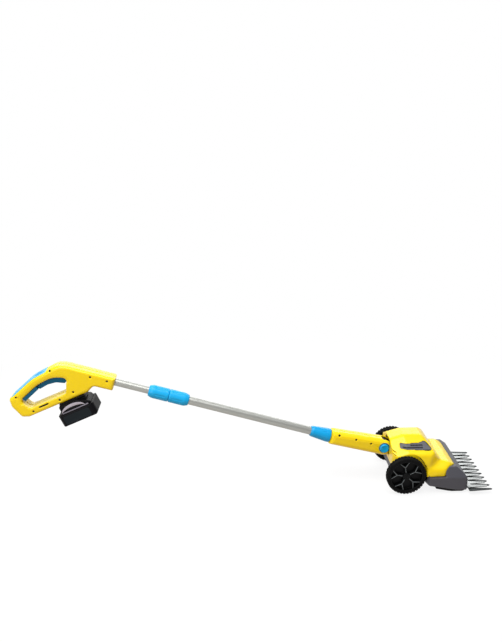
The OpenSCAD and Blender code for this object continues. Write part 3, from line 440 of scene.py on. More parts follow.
BLADE = BrushedMetal("ground_steel", (160, 163, 162), (140, 143, 142), 0.4, (160.0, 2600.0, 2600.0))
# Dark steel of the fixed comb is painted shade between the bright moving teeth, a shaded copy of the blade
# steel.
SHADED_COMB = BrushedMetal("comb_steel", (54, 58, 58), (40, 43, 43), 0.44, (160.0, 2600.0, 2600.0))
STEEL = BrushedMetal("plain_steel_skin", (176, 176, 178), (140, 140, 142), 0.34, (900.0, 900.0, 900.0))
BRASS = BrushedMetal("gear_brass_skin", (196, 158, 84), (156, 120, 58), 0.36, (1200.0, 1200.0, 300.0))
TUBE = BrushedMetal(
    "drawn_aluminium", (176, 177, 172), (152, 153, 148), 0.4, (90.0, 2600.0, 2600.0), POLE_TILT, 0.6
)

SLOT_FINISH: dict[str, Finish] = {
    "yellow_plastic": YELLOW,
    "grey_plastic": SKIRT_GREY,
    "black_plastic": BLACK,
    "tyre_rubber": TYRE,
    "blue_plastic": BLUE,
    "blue_grip": BLUE_GRIP,
    "teal_plastic": TEAL,
    "blade_steel": BLADE,
    "plain_steel": STEEL,
    "gear_brass": BRASS,
    "tube_aluminium": TUBE,
    "cell_wrap": WRAP,
}


class Paint:
    """Every finish once, as the material that pieces share."""

    def __init__(self) -> None:
        """Starts with no material made."""
        self._made: dict[str, bpy.types.Material] = {}

    def dress(self, piece: Piece, finish: Finish) -> None:
        """Gives a piece one finish all over.

        Args:
            piece: the object.
            finish: its finish, made into a material at its first use.
        """
        if finish.name not in self._made:
            self._made[finish.name] = finish.build()
        piece.data.materials.clear()
        piece.data.materials.append(self._made[finish.name])


def select_none() -> None:
    """Leaves nothing selected, so that an operator takes only what is named after."""
    bpy.ops.object.select_all(action="DESELECT")
    bpy.context.view_layer.objects.active = None


def select_only(*pieces: Piece) -> None:
    """Selects some objects.

    Args:
        pieces: the objects, of which the first becomes the active one.
    """
    select_none()
    for piece in pieces:
        piece.select_set(True)
    bpy.context.view_layer.objects.active = pieces[0]


def rename(piece: Piece, name: str) -> None:
    """Names an object and its mesh."""
    piece.name = name
    piece.data.name = name


def take_place() -> None:
    """Takes the place of what is selected into its mesh."""
    bpy.ops.object.transform_apply(location=True, rotation=True, scale=True)


def frame_at(at: Sequence[float], pitch: float = 0.0) -> Matrix:
    """A frame at a place in millimetres, turned about Y by so many degrees."""
    return Matrix.Translation(Vector(at) * MM) @ Matrix.Rotation(math.radians(pitch), 4, "Y")


def put(piece: Piece, place: Matrix) -> None:
    """Moves a piece and takes the move into its mesh.

    Args:
        piece: the object that is moved.
        place: where its origin goes.
    """
    select_only(piece)
    piece.matrix_world = place
    take_place()


def apply_modifier(piece: Piece, kind: str, settings: dict[str, object]) -> None:
    """Adds a modifier and applies it.

    Args:
        piece: the object that it works on.
        kind: the modifier's type.
        settings: its settings by name.
    """
    select_only(piece)
    bpy.ops.object.modifier_add(type=kind)
    modifier = piece.modifiers[-1]
    for key, value in settings.items():
        setattr(modifier, key, value)
    bpy.ops.object.modifier_apply(modifier=modifier.name)


def shade(piece: Piece, angle: float = SHARP) -> None:
    """Shades a piece smooth up to an angle in degrees."""
    select_only(piece)
    bpy.ops.object.shade_smooth_by_angle(angle=math.radians(angle))


def break_edges(piece: Piece, width_mm: float, segments: int = 2, angle: float = SHARP) -> None:
    """Bevels the sharp edges of a piece and shades it smooth up to that angle.

    Args:
        piece: the object that it works on.
        width_mm: width of the bevel.
        segments: steps across it.
        angle: the least turn between faces that counts as sharp, in degrees.
    """
    apply_modifier(piece, "BEVEL", {
        "width": width_mm * MM,
        "segments": segments,
        "limit_method": "ANGLE",
        "angle_limit": math.radians(angle),
        "use_clamp_overlap": True,
    })
    shade(piece, angle)


def repeat(first: Piece, name: str, places: Iterable[Matrix]) -> Piece:
    """Copies a piece to some places, and joins the copies as one.

    Args:
        first: the piece to copy, which is used up.
        name: the joined piece's name.
        places: where each copy goes.

    Returns:
        The joined piece.
    """
    copies = []
    for place in places:
        select_only(first)
        bpy.ops.object.duplicate()
        put(bpy.context.object, place)
        copies.append(bpy.context.object)
    bpy.data.objects.remove(first)
    select_only(*copies)
    bpy.ops.object.join()
    rename(copies[0], name)
    return copies[0]


@dataclass(frozen=True)
class Places:
    """The frames of the axle, the pivot, the handle and the battery's rail at rest, in mm and degrees."""

    axle: Point = (-150.0, 0.0, 55.0)
    pivot: Point = (-197.5, 0.0, 102.0)
    pole_drop: float = 13.0
    neck_at: float = 776.5
    rail_start: Point = (-62.094, 0.0, -40.0)
    rail_slope: float = 39.975

    def at_axle(self, far: bool) -> Matrix:
        """The wheels' axle, turned round for the far wheel."""
        return frame_at(self.axle) @ Matrix.Rotation(math.pi if far else 0.0, 4, "Z")

    def on_pole(self) -> Matrix:
        """The pivot, with X forward along the pole."""
        return frame_at(self.pivot, POLE_TILT)

    def on_handle(self) -> Matrix:
        """The neck's end on the pole's axis."""
        return self.on_pole() @ frame_at((-self.neck_at, 0.0, -self.pole_drop))

    def on_rail(self) -> Matrix:
        """The front of the battery's rail, with X along it."""
        return self.on_handle() @ frame_at(self.rail_start, -self.rail_slope)


PLACES = Places()


class Shaper:
    """A piece under the hand, shaped in edit mode."""

    MERGE = 0.000005

    def __init__(self, name: str) -> None:
        """Opens the active object, with all of it selected.

        Args:
            name: the name that the object and its mesh get.
        """
        self.piece = bpy.context.object
        rename(self.piece, name)
        bpy.ops.object.mode_set(mode="EDIT")
        bpy.ops.mesh.select_mode(type="VERT")
        bpy.ops.mesh.select_all(action="SELECT")

    @classmethod
    def reopen(cls, piece: Piece) -> Shaper:
        """Opens a piece that was closed before."""
        select_only(piece)
        return cls(piece.name)

    @classmethod
    def block(cls, name: str, low: Sequence[float], high: Sequence[float]) -> Shaper:
        """Starts a piece from a block.

        Args:
            name: the piece's name.
            low: its lowest corner in millimetres.
            high: its highest corner.

        Returns:
            The shaper.
        """
        middle = [(a + b) / 2 * MM for a, b in zip(low, high)]
        size = [(b - a) * MM for a, b in zip(low, high)]
        bpy.ops.mesh.primitive_cube_add(size=1.0, location=middle, scale=size)
        take_place()
        return cls(name)

    @classmethod
    def lathe(cls, name: str, profile: Profile, steps: int) -> Shaper:
        """Starts a piece by turning a profile about Y.

        Args:
            name: the piece's name.
            profile: radius and place along the axis, in millimetres.
            steps: facets round the axis.

        Returns:
            The shaper.
        """
        bpy.ops.mesh.primitive_plane_add(size=MM)
        shaper = cls(name)
        bpy.ops.mesh.merge(type="CENTER")
        before = Vector()
        for i, (radius, along) in enumerate(profile):
            point = Vector((radius, along, 0.0)) * MM
            if i == 0:
                bpy.ops.transform.translate(value=point)
            else:
                bpy.ops.mesh.extrude_vertices_move(TRANSFORM_OT_translate={"value": point - before})
            before = point
        bpy.ops.mesh.select_all(action="SELECT")
        bpy.ops.mesh.spin(steps=steps, angle=2 * math.pi, center=(0, 0, 0), axis=(0, 1, 0))
        shaper.tidy()
        return shaper

    def tidy(self) -> None:
        """Merges doubled points and turns every face outward."""
        bpy.ops.mesh.select_all(action="SELECT")
        bpy.ops.mesh.remove_doubles(threshold=self.MERGE)
        bpy.ops.mesh.normals_make_consistent(inside=False)

    def _pick(self, kind: str, layer: str, taken: Callable[[object], bool]) -> None:
        """Selects the elements of one kind that a test takes.

        Args:
            kind: the mode to select in.
            layer: the mesh's list of those elements.
            taken: the test.
        """
        bpy.ops.mesh.select_mode(type=kind)
        bpy.ops.mesh.select_all(action="DESELECT")
        bpy.ops.object.mode_set(mode="OBJECT")
        for element in getattr(self.piece.data, layer):
            element.select = taken(element)
        bpy.ops.object.mode_set(mode="EDIT")

    def pick_faces(self, rule: Callable[[Vector, Vector], bool]) -> None:
        """Selects the faces whose middle, in millimetres, and normal a rule takes."""
        self._pick("FACE", "polygons", lambda face: rule(face.center / MM, face.normal))

    def pick_points(self, rule: Callable[[Vector], bool]) -> None:
        """Selects the points that a rule takes, in millimetres."""
        self._pick("VERT", "vertices", lambda point: rule(point.co / MM))

    def pick_edges(self, rule: Callable[[Vector, Vector], bool]) -> None:
        """Selects the edges whose two ends a rule takes, in millimetres."""
        mesh = self.piece.data
        self._pick("EDGE", "edges", lambda edge: rule(*(mesh.vertices[v].co / MM for v in edge.vertices)))

    def extrude(self, x: float, y: float, z: float) -> None:
        """Extrudes what is picked by so many millimetres."""
        bpy.ops.mesh.extrude_region_move(TRANSFORM_OT_translate={"value": (x * MM, y * MM, z * MM)})

    def bevel(self, corner: Corner, clamp: bool = False) -> None:
        """Bevels the picked edges by a width in millimetres, in so many steps."""
        width, steps = corner
        bpy.ops.mesh.bevel(offset=width * MM, segments=steps, clamp_overlap=clamp)

    def close(self, place: Matrix | None = None, edge_mm: float = 0.0, segments: int = 2) -> Piece:
        """Leaves edit mode.

        Args:
            place: where the piece goes, or None where it is there already.
            edge_mm: width by which its edges are broken, or nought.
            segments: steps across a broken edge.

        Returns:
            The piece.
        """
        bpy.ops.object.mode_set(mode="OBJECT")
        if place is not None:
            put(self.piece, place)
        if edge_mm > 0.0:
            break_edges(self.piece, edge_mm, segments)
        return self.piece


class Bench:
    """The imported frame, and what every piece needs from it."""

    MERGE = 0.000002

    def __init__(self, frame: dict) -> None:
        """Keeps the frame, and looks up each node's body and slot.
        """
        self.nodes = frame["nodes"]
        self.paint = Paint()
        self.slot_of = {part["node"]: part["material_slot"] for part in frame["record"]["subparts"]}
        bodies = frame["record"]["behaviour"]["bodies"]
        self.body_of = {node: body for body, nodes in bodies.items() for node in nodes}

    def dress_nodes(self) -> None:
        """Gives every node of the frame its finish."""
        for node, slot in self.slot_of.items():
            self.paint.dress(self.nodes[node], SLOT_FINISH[slot])
            LOG.info("dressed %s", node)

    def copy_of(self, node: str, name: str) -> Piece:
        """A merged copy of a node's mesh.

        Args:
            node: the CAD node.
            name: the new piece's name.

        Returns:
            The new piece.
        """
        select_only(self.nodes[node])
        bpy.ops.object.duplicate()
        piece = bpy.context.object
        for key in [key for key in piece.keys() if key.startswith("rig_")]:
            del piece[key]
        piece.parent = None
        shaper = Shaper(name)
        bpy.ops.mesh.remove_doubles(threshold=self.MERGE)
        bpy.ops.mesh.customdata_custom_splitnormals_clear()
        return shaper.close()

    def keep(self, piece: Piece, finish: Finish | None, *nodes: str) -> Piece:
        """Puts a piece in the place of nodes.

        Args:
            piece: the new piece.
            finish: its finish, or that of the nodes' slot.
            nodes: the CAD nodes that it stands for.

        Returns:
            The piece, on the nodes' body.
        """
        slot = self.slot_of[nodes[0]]
        self.paint.dress(piece, finish or SLOT_FINISH[slot])
        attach(piece, self.body_of[nodes[0]])
        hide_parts(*nodes)
        LOG.info("%s stands for %s, %d faces", piece.name, ", ".join(nodes), len(piece.data.polygons))
        return piece

    def fit(self, piece: Piece, finish: Finish, beside: str) -> Piece:
        """Adds a piece that rides with a node.

        Args:
            piece: the new piece.
            finish: its finish.
            beside: the node that carries it.

        Returns:
            The piece.
        """
        self.paint.dress(piece, finish)
        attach(piece, self.body_of[beside])
        LOG.info("%s sits on %s, %d faces", piece.name, beside, len(piece.data.polygons))
        return piece


@dataclass(frozen=True)
class Reworked:
    """A piece that starts as a node's copy and takes the place of that node."""

    node: str
    name: str
    finish: Finish | None = field(default=None, kw_only=True)

    def form(self, bench: Bench) -> Piece:
        """Makes the piece, still loose."""
        return bench.copy_of(self.node, self.name)

    def build(self, bench: Bench) -> Piece:
        """Makes the piece in the node's place."""
        return bench.keep(self.form(bench), self.finish, self.node)


@dataclass(frozen=True)
class Trimmed(Reworked):
    """A copy with flat faces made whole and edges broken."""

    bevel_mm: float
    flat: float = 1.0
    segments: int = 3

    def form(self, bench: Bench) -> Piece:
        """Makes the piece, still loose.

        Args:
            bench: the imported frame.

        Returns:
            The piece.
        """
        shaper = Shaper.reopen(super().form(bench))
        bpy.ops.mesh.dissolve_limited(angle_limit=math.radians(self.flat))
        return shaper.close(None, self.bevel_mm, self.segments)


@dataclass(frozen=True)
class Moulding(Reworked):
    """A moulded piece: a copy whose edges are rolled over, as polished steel leaves them."""

    voxel_mm: float
    rounds: int

    def form(self, bench: Bench) -> Piece:
        """Makes the piece, still loose.

        Args:
            bench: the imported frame.

        Returns:
            The piece.
        """
        piece = super().form(bench)
        skin = {"mode": "VOXEL", "voxel_size": self.voxel_mm * MM, "use_smooth_shade": True}
        apply_modifier(piece, "REMESH", skin)
        apply_modifier(piece, "SMOOTH", {"factor": SMOOTHING, "iterations": self.rounds})
        return piece


@dataclass(frozen=True)
class Screw:
    """A screw with a lobed recess, its head's top at zero and its shank along Y."""

    head_r: float
    head_h: float
    shank_r: float
    shank: float
    sides: int = 24
    lobes: int = 6
    recess: float = 0.62
    recess_depth: float = 0.7
    pinch: float = 0.7
    edge: float = 0.05
    sharp: float = 50.0

    def build(self, name: str) -> Piece:
        """Makes one screw.

        Args:
            name: the piece's name.

        Returns:
            The screw at the origin.
        """
        bpy.ops.mesh.primitive_cylinder_add(
            vertices=self.sides,
            radius=self.head_r * MM,
            depth=self.head_h * MM,
            location=(0, self.head_h / 2 * MM, 0),
            rotation=(math.pi / 2, 0, 0),
        )
        take_place()
        shaper = Shaper(name)
        shaper.pick_faces(lambda at, normal: normal.y > FACING)
        bpy.ops.mesh.inset(thickness=(self.head_r - self.shank_r) * MM)
        shaper.extrude(0, self.shank, 0)
        shaper.pick_faces(lambda at, normal: normal.y < -FACING)
        bpy.ops.mesh.inset(thickness=self.head_r * (1 - self.recess) * MM)
        shaper.pick_points(self._in_gap)
        bpy.ops.transform.resize(value=(self.pinch, 1, self.pinch), center_override=(0, 0, 0))
        floor_r = self.head_r * self.recess / 2
        shaper.pick_faces(lambda at, normal: normal.y < -FACING and math.hypot(at.x, at.z) < floor_r)
        shaper.extrude(0, self.head_h * self.recess_depth, 0)
        piece = shaper.close()
        break_edges(piece, self.head_r * self.edge, angle=self.sharp)
        return piece

    def _in_gap(self, at: Vector) -> bool:
        """Whether a point of the recess's rim lies between two lobes.

        Args:
            at: the point in millimetres.

        Returns:
            True between two lobes.
        """
        rim = self.head_r * (1 + self.recess) / 2
        if at.y > NEAR or math.hypot(at.x, at.z) > rim:
            return False
        pitch = self.sides // self.lobes
        return round(math.atan2(at.z, at.x) / math.tau * self.sides) % pitch < pitch / 2

    def build_set(self, name: str, places: Iterable[Matrix]) -> Piece:
        """Makes a screw and its copies at some places, joined as one piece."""
        return repeat(self.build(name), name, places)


@dataclass
class HeadUnit:
    """The head's housings with their vents, the yoke behind them and the cover below."""

    mouldings: tuple[Moulding, ...] = (
        Moulding("head_shell", "head_moulding", 1.35, 14),
        Moulding("base_housing", "skirt_moulding", 1.35, 5),
        Moulding("base_cover", "sole_plate", 1.2, 4),
        Moulding("vent_near", "vent_grille_near", 0.6, 3, finish=VENT_GREY),
        Moulding("vent_far", "vent_grille_far", 0.6, 3, finish=VENT_GREY),
        Moulding("hinge_yoke", "yoke_moulding", 0.9, 4),
    )
    sole_screw: Screw = Screw(4.0, 3.0, 2.0, 19.0)
    screw_x: float = 11.0
    screw_y: tuple[float, ...] = (-74.48, -29.4, 29.4, 74.48)
    screw_low: float = 2.0
    slot_x: float = -180.0
    slot_z: Pair = (112.0, 106.0)
    slot_size: Point = (14.0, 196.0, 2.0)
    slot_pitch: float = 20.0
    grille_slots: tuple[Point, ...] = ((-126.0, 120.6, 56.0), (-115.0, 124.6, 34.0))
    grille_slot_h: float = 3.0
    # Shift inward and down of the black sheets that paint shade behind the vents, in millimetres.
    screen_shift: Pair = (5.0, -4.0)
    ease_x: Pair = (-95.0, -16.0)
    ease_y: float = 30.0
    ease_z: float = 58.0
    ease_rounds: int = 60

    def build(self, bench: Bench) -> None:
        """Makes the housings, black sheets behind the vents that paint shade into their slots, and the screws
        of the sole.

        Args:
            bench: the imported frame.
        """
        inward, down = self.screen_shift
        # A black copy of each vent, set behind it, paints shade into its slots.
        for side, name in ((1, "near"), (-1, "far")):
            shade_sheet = bench.copy_of(f"vent_{name}", f"vent_screen_{name}")
            put(shade_sheet, frame_at((0, side * inward, down)))
            bench.fit(shade_sheet, BLACK, f"vent_{name}")
        built = {moulding.node: moulding.build(bench) for moulding in self.mouldings}
        shell = built["head_shell"]
        self._ease(shell)
        for z in self.slot_z:
            self._cut(shell, self.slot_size, (self.slot_x, 0.0, z), self.slot_pitch)
        for x, z, length in self.grille_slots:
            for vent in ("vent_near", "vent_far"):
                self._cut(built[vent], (length, self.slot_size[1], self.grille_slot_h), (x, 0.0, z))
        up = Matrix.Rotation(math.pi / 2, 4, "X")
        places = [frame_at((self.screw_x, y, self.screw_low)) @ up for y in self.screw_y]
        bench.keep(self.sole_screw.build_set("sole_screws", places), STEEL, "blade_screws")

    def _ease(self, shell: Piece) -> None:
        """Eases the dome into the deck along both sides.

        Args:
            shell: the upper housing.
        """
        rear, front = self.ease_x
        shaper = Shaper.reopen(shell)
        shaper.pick_points(
            lambda at: rear < at.x < front and abs(at.y) > self.ease_y and at.z > self.ease_z
        )
        bpy.ops.mesh.vertices_smooth(factor=SMOOTHING, repeat=self.ease_rounds)
        shaper.close()

    @staticmethod
    def _cut(piece: Piece, size: Sequence[float], at: Sequence[float], pitch: float = 0.0) -> None:
        """Cuts a slot across a moulding.

        Args:
            piece: the moulding.
            size: the slot's size in millimetres.
            at: its middle.
            pitch: its turn about Y in degrees.
        """
        half = [side / 2 for side in size]
        cutter = Shaper.block("slot_cutter", [-h for h in half], half).close(frame_at(at, pitch))
        apply_modifier(
            piece, "BOOLEAN", {"operation": "DIFFERENCE", "solver": "MANIFOLD", "object": cutter}
        )
        bpy.data.objects.remove(cutter)


@dataclass
class CutterBar:
    """The two combs, with their edges ground; the fixed one is dark steel as painted shade between the moving
    teeth.
    """

    moving: Trimmed = Trimmed("moving_blade", "moving_comb", 0.35, finish=BLADE)
    fixed: Trimmed = Trimmed("fixed_blade", "fixed_comb", 0.35, finish=SHADED_COMB)
    bar_end: float = 84.0
    slide_room: float = 2.4

    def build(self, bench: Bench) -> None:
        """Makes both combs, the moving one with room to slide at the ends of its bar.

        Args:
            bench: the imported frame.
        """
        piece = self.moving.form(bench)
        shaper = Shaper.reopen(piece)
        for side in (-1, 1):
            shaper.pick_points(lambda at, side=side: at.y * side > self.bar_end)
            bpy.ops.transform.translate(value=(0, -side * self.slide_room * MM, 0))
        shaper.close()
        bench.keep(piece, self.moving.finish, self.moving.node)
        self.fixed.build(bench)


@dataclass
class WheelPair:
    """Two wheels: lugged tyres, forked rims and hub caps, in millimetres from the middle of the axle.

    The wall is half of a tyre's section, as radius and depth from the outer face. The cap's section is in
    shares of its radius and depth from that face.
    """

    face_y: float = -101.0
    width: float = 20.0
    wall: Profile = (
        (47.05, 0.5), (47.95, 0.05), (49.25, 0.0), (49.65, 0.45), (50.45, 0.45), (50.85, 0.1),
        (51.8, 0.7), (52.8, 1.9), (53.3, 4.0), (53.3, 8.4),
    )
    lug_from: float = 52.0
    lug_facing: float = 0.35
    lug_h: float = 1.65
    lug_pitches: int = 36
    lug_edge: float = 0.25
    steps_per_pitch: int = 3
    groove: float = 1.6
    cap_r: float = 10.5
    cap_section: Profile = (
        (0.0, -0.05), (0.3, -0.05), (0.34, 0.35), (0.46, 0.35), (0.5, 0.0), (0.78, 0.25), (0.92, 0.9),
        (0.98, 2.0), (1.0, 3.8), (0.72, 3.8), (0.72, 1.7), (0.0, 1.7),
    )
    cap_steps: int = 48
    cap_edge: float = 0.15
    rim_voxel: float = 0.85
    rim_rounds: int = 2
    spokes: int = 5
    spoke_turn: float = 28.0
    spoke_face: float = 97.0
    rib_h: float = 0.9
    rib_sunk: float = 0.4
    rib_half: float = 0.95
    rib_start: float = 12.0
    rib_overlap: float = 0.6
    rib_taper: float = 0.55
    rib_edge: float = 0.3
    fork_r: float = 26.3
    fork_turn: float = 41.5
    arm_len: float = 20.5

    def build(self, bench: Bench) -> None:
        """Makes both wheels.

        Args:
            bench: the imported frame.
        """
        for side, way in (("near", -1), ("far", 1)):
            place = PLACES.at_axle(side == "far")
            bench.keep(self._tyre(f"{side}_tread", place), TYRE, f"{side}_tyre")
            bench.keep(self._cap(f"{side}_cap", place), WHEEL_BLACK, f"{side}_hub_cap")
            rim = Moulding(
                f"{side}_rim", f"{side}_wheel", self.rim_voxel, self.rim_rounds, finish=WHEEL_BLACK
            )
            rim.build(bench)
            # The grey ribs are painted highlights on the spokes.
            bench.fit(self._ribs(f"{side}_spoke_ribs", way), HIGHLIGHT_RIB, f"{side}_rim")

    def _ribs(self, name: str, side: int) -> Piece:
        """Makes the raised grey ribs along the forked spokes, a painted highlight on the black wheel.

        Args:
            name: the piece's name.
            side: -1 for the near wheel and 1 for the far one.

        Returns:
            The ribs of one wheel.
        """
        inner, outer = self.spoke_face - self.rib_sunk, self.spoke_face + self.rib_h
        low, high = sorted((side * inner, side * outer))
        bars = []
        for start, turn, length in (
            (self.rib_start, 0.0, self.fork_r - self.rib_start),
            (self.fork_r, -self.fork_turn, self.arm_len),
            (self.fork_r, self.fork_turn, self.arm_len),
        ):
            foot = (-self.rib_overlap, low, -self.rib_half)
            shaper = Shaper.block(name, foot, (length, high, self.rib_half))
            shaper.pick_points(lambda at, end=length: at.x > end - NEAR)
            bpy.ops.transform.resize(value=(1, 1, self.rib_taper), center_override=(length * MM, 0, 0))
            bars.append(shaper.close(frame_at((start, 0, 0), turn)))
        select_only(*bars)
        bpy.ops.object.join()
        break_edges(bars[0], self.rib_edge)
        turns = [-self.spoke_turn - i * 360 / self.spokes for i in range(self.spokes)]
        return repeat(bars[0], name, [frame_at(PLACES.axle, turn) for turn in turns])

    def _tyre(self, name: str, place: Matrix) -> Piece:
        """Makes a tyre: turned, then its lugs drawn out.

        Args:
            name: the piece's name.
            place: the wheel's place.

        Returns:
            The tyre.
        """
        section = list(self.wall) + [(r, self.width - y) for r, y in reversed(self.wall)]
        profile = [(r, self.face_y + y) for r, y in section + section[:1]]
        steps = self.lug_pitches * self.steps_per_pitch
        middle = self.face_y + self.width / 2

        def lug(at: Vector, normal: Vector) -> bool:
            """Whether a face of the tread is the foot of a lug.

            Args:
                at: the face's middle in millimetres.
                normal: its normal.

            Returns:
                True at a lug's foot.
            """
            radius = math.hypot(at.x, at.z)
            facing = (at.x * normal.x + at.z * normal.z) / radius
            if radius < self.lug_from or facing < self.lug_facing or abs(at.y - middle) < self.groove:
                return False
            step = math.floor(math.atan2(at.z, at.x) / math.tau * steps)
            return (step + int(at.y > middle)) % self.steps_per_pitch != 0

        shaper = Shaper.lathe(name, profile, steps)
        shaper.pick_faces(lug)
        bpy.ops.mesh.extrude_region_shrink_fatten(TRANSFORM_OT_shrink_fatten={"value": self.lug_h * MM})
        return shaper.close(place, self.lug_edge, 1)

    def _cap(self, name: str, place: Matrix) -> Piece:
        """Makes a hub cap with a ring pressed into its face."""
        profile = [(share * self.cap_r, self.face_y + y) for share, y in self.cap_section]
        return Shaper.lathe(name, profile, self.cap_steps).close(place, self.cap_edge)


@dataclass
class HingeArm:
    """The arm's two mouldings, its screws, and the lock button in its dark ring.

    The button's section is in shares of its radius and depth from its top. The ring's section is radius and
    depth from the arm's cheek.
    """

    mouldings: tuple[Moulding, ...] = (
        Moulding("arm_near", "arm_moulding_near", 1.0, 6),
        Moulding("arm_far", "arm_moulding_far", 1.0, 6),
    )
    cheek: float = 22.0
    screw: Screw = Screw(3.0, 2.2, 1.5, 32.0)
    screw_x: Point = (-40.56, -85.02, -134.94)
    screw_z: float = 2.5
    screw_sunk: float = 2.6
    turned_steps: int = 64
    button_r: float = 12.8
    button_top: float = -27.0
    button_section: Profile = (
        (0.0, 1.1), (0.4, 0.95), (0.66, 0.45), (0.76, 0.05), (0.86, 0.1), (0.94, 0.7), (1.0, 1.9),
        (1.0, 4.6), (0.82, 7.2), (0.0, 7.2),
    )
    button_edge: float = 0.2
    ring_section: Profile = (
        (13.08, 2.4), (13.08, -0.3), (13.48, -0.6), (15.1, -0.35), (15.6, 0.2), (15.6, 2.4), (13.08, 2.4),
    )
    ring_edge: float = 0.15

    def build(self, bench: Bench) -> None:
        """Makes the arm and what sits in it.

        Args:
            bench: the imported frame.
        """
        for moulding in self.mouldings:
            moulding.build(bench)
        top = self.screw_sunk - self.cheek
        places = [PLACES.on_pole() @ frame_at((x, top, self.screw_z)) for x in self.screw_x]
        bench.keep(self.screw.build_set("arm_screw_set", places), SCREW_DARK, "arm_screws")
        button = [(share * self.button_r, self.button_top + y) for share, y in self.button_section]
        bench.keep(self._turned("lock_button_cap", button, self.button_edge), BUTTON_BLUE, "pivot_button")
        ring = [(r, y - self.cheek) for r, y in self.ring_section]
        bench.fit(self._turned("lock_button_ring", ring, self.ring_edge), TEAL, "arm_near")

    def _turned(self, name: str, profile: Profile, edge_mm: float) -> Piece:
        """Makes a piece that is turned about the pivot."""
        return Shaper.lathe(name, profile, self.turned_steps).close(PLACES.on_pole(), edge_mm)


@dataclass
class TelescopicPole:
    """The collar at the arm, and the clamping sleeve between the two tubes."""

    mouldings: tuple[Moulding, ...] = (
        Moulding("lower_collar", "collar_moulding", 0.75, 4),
        Moulding("sleeve_body", "sleeve_moulding", 0.8, 4, finish=SLEEVE_BLUE),
        Moulding("sleeve_nut", "sleeve_ring", 0.75, 4, finish=SLEEVE_BLUE),
    )

    def build(self, bench: Bench) -> None:
        """Makes the blue mouldings of the pole."""
        for moulding in self.mouldings:
            moulding.build(bench)


@dataclass
class HandleUnit:
    """The handle's two mouldings with their grip, trigger, safety slide and screws, in the neck's frame."""

    shells: tuple[Moulding, ...] = (
        Moulding("handle_near", "handle_moulding_near", 1.1, 9),
        Moulding("handle_far", "handle_moulding_far", 1.1, 9),
    )
    mouldings: tuple[Moulding, ...] = (
        Moulding("top_grip", "grip_pad", 0.6, 6),
        Moulding("safety_button", "safety_slide", 0.4, 5, finish=BLUE),
    )
    linings: tuple[Trimmed, ...] = (
        Trimmed("grip_liner", "grip_underside", 1.2),
        Trimmed("trigger", "trigger_lever", 1.6),
    )
    loop_top: Profile = ((-127.0, -16.0), (-164.0, -25.0), (-197.0, -57.0), (-231.0, -114.0))
    crown_from: float = 12.0
    crown_scale: float = 0.55
    roll_from: float = 5.0
    roll_reach: float = 13.5
    roll_rounds: int = 130
    sag_from: float = 5.0
    sag: Point = (1.1, 0.0, -2.4)
    slot_at: Pair = (-167.94, -108.3)
    slot_half: Pair = (14.2, 1.7)
    slot_depth: Pair = (0.05, 1.9)
    slot_corner: Corner = (1.5, 4)
    cheek: float = 23.0
    screw: Screw = Screw(3.0, 1.9, 1.5, 34.5)
    screw_sunk: float = 2.5
    screw_at: Profile = (
        (-172.92, -6.0), (-243.92, -106.0), (-66.02, 5.0), (-20.0, 5.0),
        (-100.08, -49.45), (-129.95, -81.49), (-191.0, -133.67),
    )

    def build(self, bench: Bench) -> None:
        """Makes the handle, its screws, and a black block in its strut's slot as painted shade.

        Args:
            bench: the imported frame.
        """
        for moulding in self.mouldings:
            moulding.build(bench)
        reworks = [(shell, self._roll) for shell in self.shells]
        reworks += [(lining, self._deepen) for lining in self.linings]
        for unit, rework in reworks:
            piece = unit.form(bench)
            put(piece, PLACES.on_handle().inverted())
            shaper = Shaper.reopen(piece)
            rework(shaper)
            bench.keep(shaper.close(PLACES.on_handle()), unit.finish, unit.node)
        # A black block paints shade into the slot of the strut.
        bench.fit(self._slot(), BLACK, "handle_near")
        top = self.screw_sunk - self.cheek
        places = [PLACES.on_handle() @ frame_at((x, top, z)) for x, z in self.screw_at]
        bench.keep(self.screw.build_set("handle_screw_set", places), SCREW_DARK, "handle_screws")

    def _into_loop(self, at: Vector) -> float:
        """How far a point lies inside the loop's upper edge.

        Args:
            at: the point in millimetres.

        Returns:
            The distance to that edge, below zero outside the loop.
        """
        gaps = []
        for (x, z), (end_x, end_z) in zip(self.loop_top, self.loop_top[1:]):
            way = Vector((end_x - x, end_z - z))
            off = Vector((at.x - x, at.z - z))
            share = min(max(off.dot(way) / way.length_squared, 0.0), 1.0)
            gap = off - way * share
            gaps.append(math.copysign(gap.length, way.cross(gap)))
        return min(gaps, key=abs)

    def _roll(self, shaper: Shaper) -> None:
        """Flattens the crown, and rolls the bar over into the loop.

        Args:
            shaper: the open shell.
        """
        shaper.pick_points(lambda at: at.z > self.crown_from)
        middle = (0, 0, self.crown_from * MM)
        bpy.ops.transform.resize(value=(1, 1, self.crown_scale), center_override=middle)
        shaper.pick_points(
            lambda at: abs(at.y) > self.roll_from and abs(self._into_loop(at)) < self.roll_reach
        )
        bpy.ops.mesh.vertices_smooth(factor=SMOOTHING, repeat=self.roll_rounds)

    def _deepen(self, shaper: Shaper) -> None:
        """Moves the lower side of a lining further into the loop."""
        shaper.pick_points(lambda at: self._into_loop(at) > self.sag_from)
        bpy.ops.transform.translate(value=Vector(self.sag) * MM)

    def _slot(self) -> Piece:
        """Makes a black block in the strut's slot, as painted shade there.

        Returns:
            The black block.
        """
        length, height = self.slot_half
        shallow, deep = self.slot_depth
        shaper = Shaper.block("strut_slot", (-length, shallow, -height), (length, deep, height))
        shaper.pick_edges(lambda a, b: abs(a.y - b.y) > NEAR)
        shaper.bevel(self.slot_corner)
        x, z = self.slot_at
        return shaper.close(PLACES.on_handle() @ frame_at((x, -self.cheek, z), -PLACES.rail_slope))


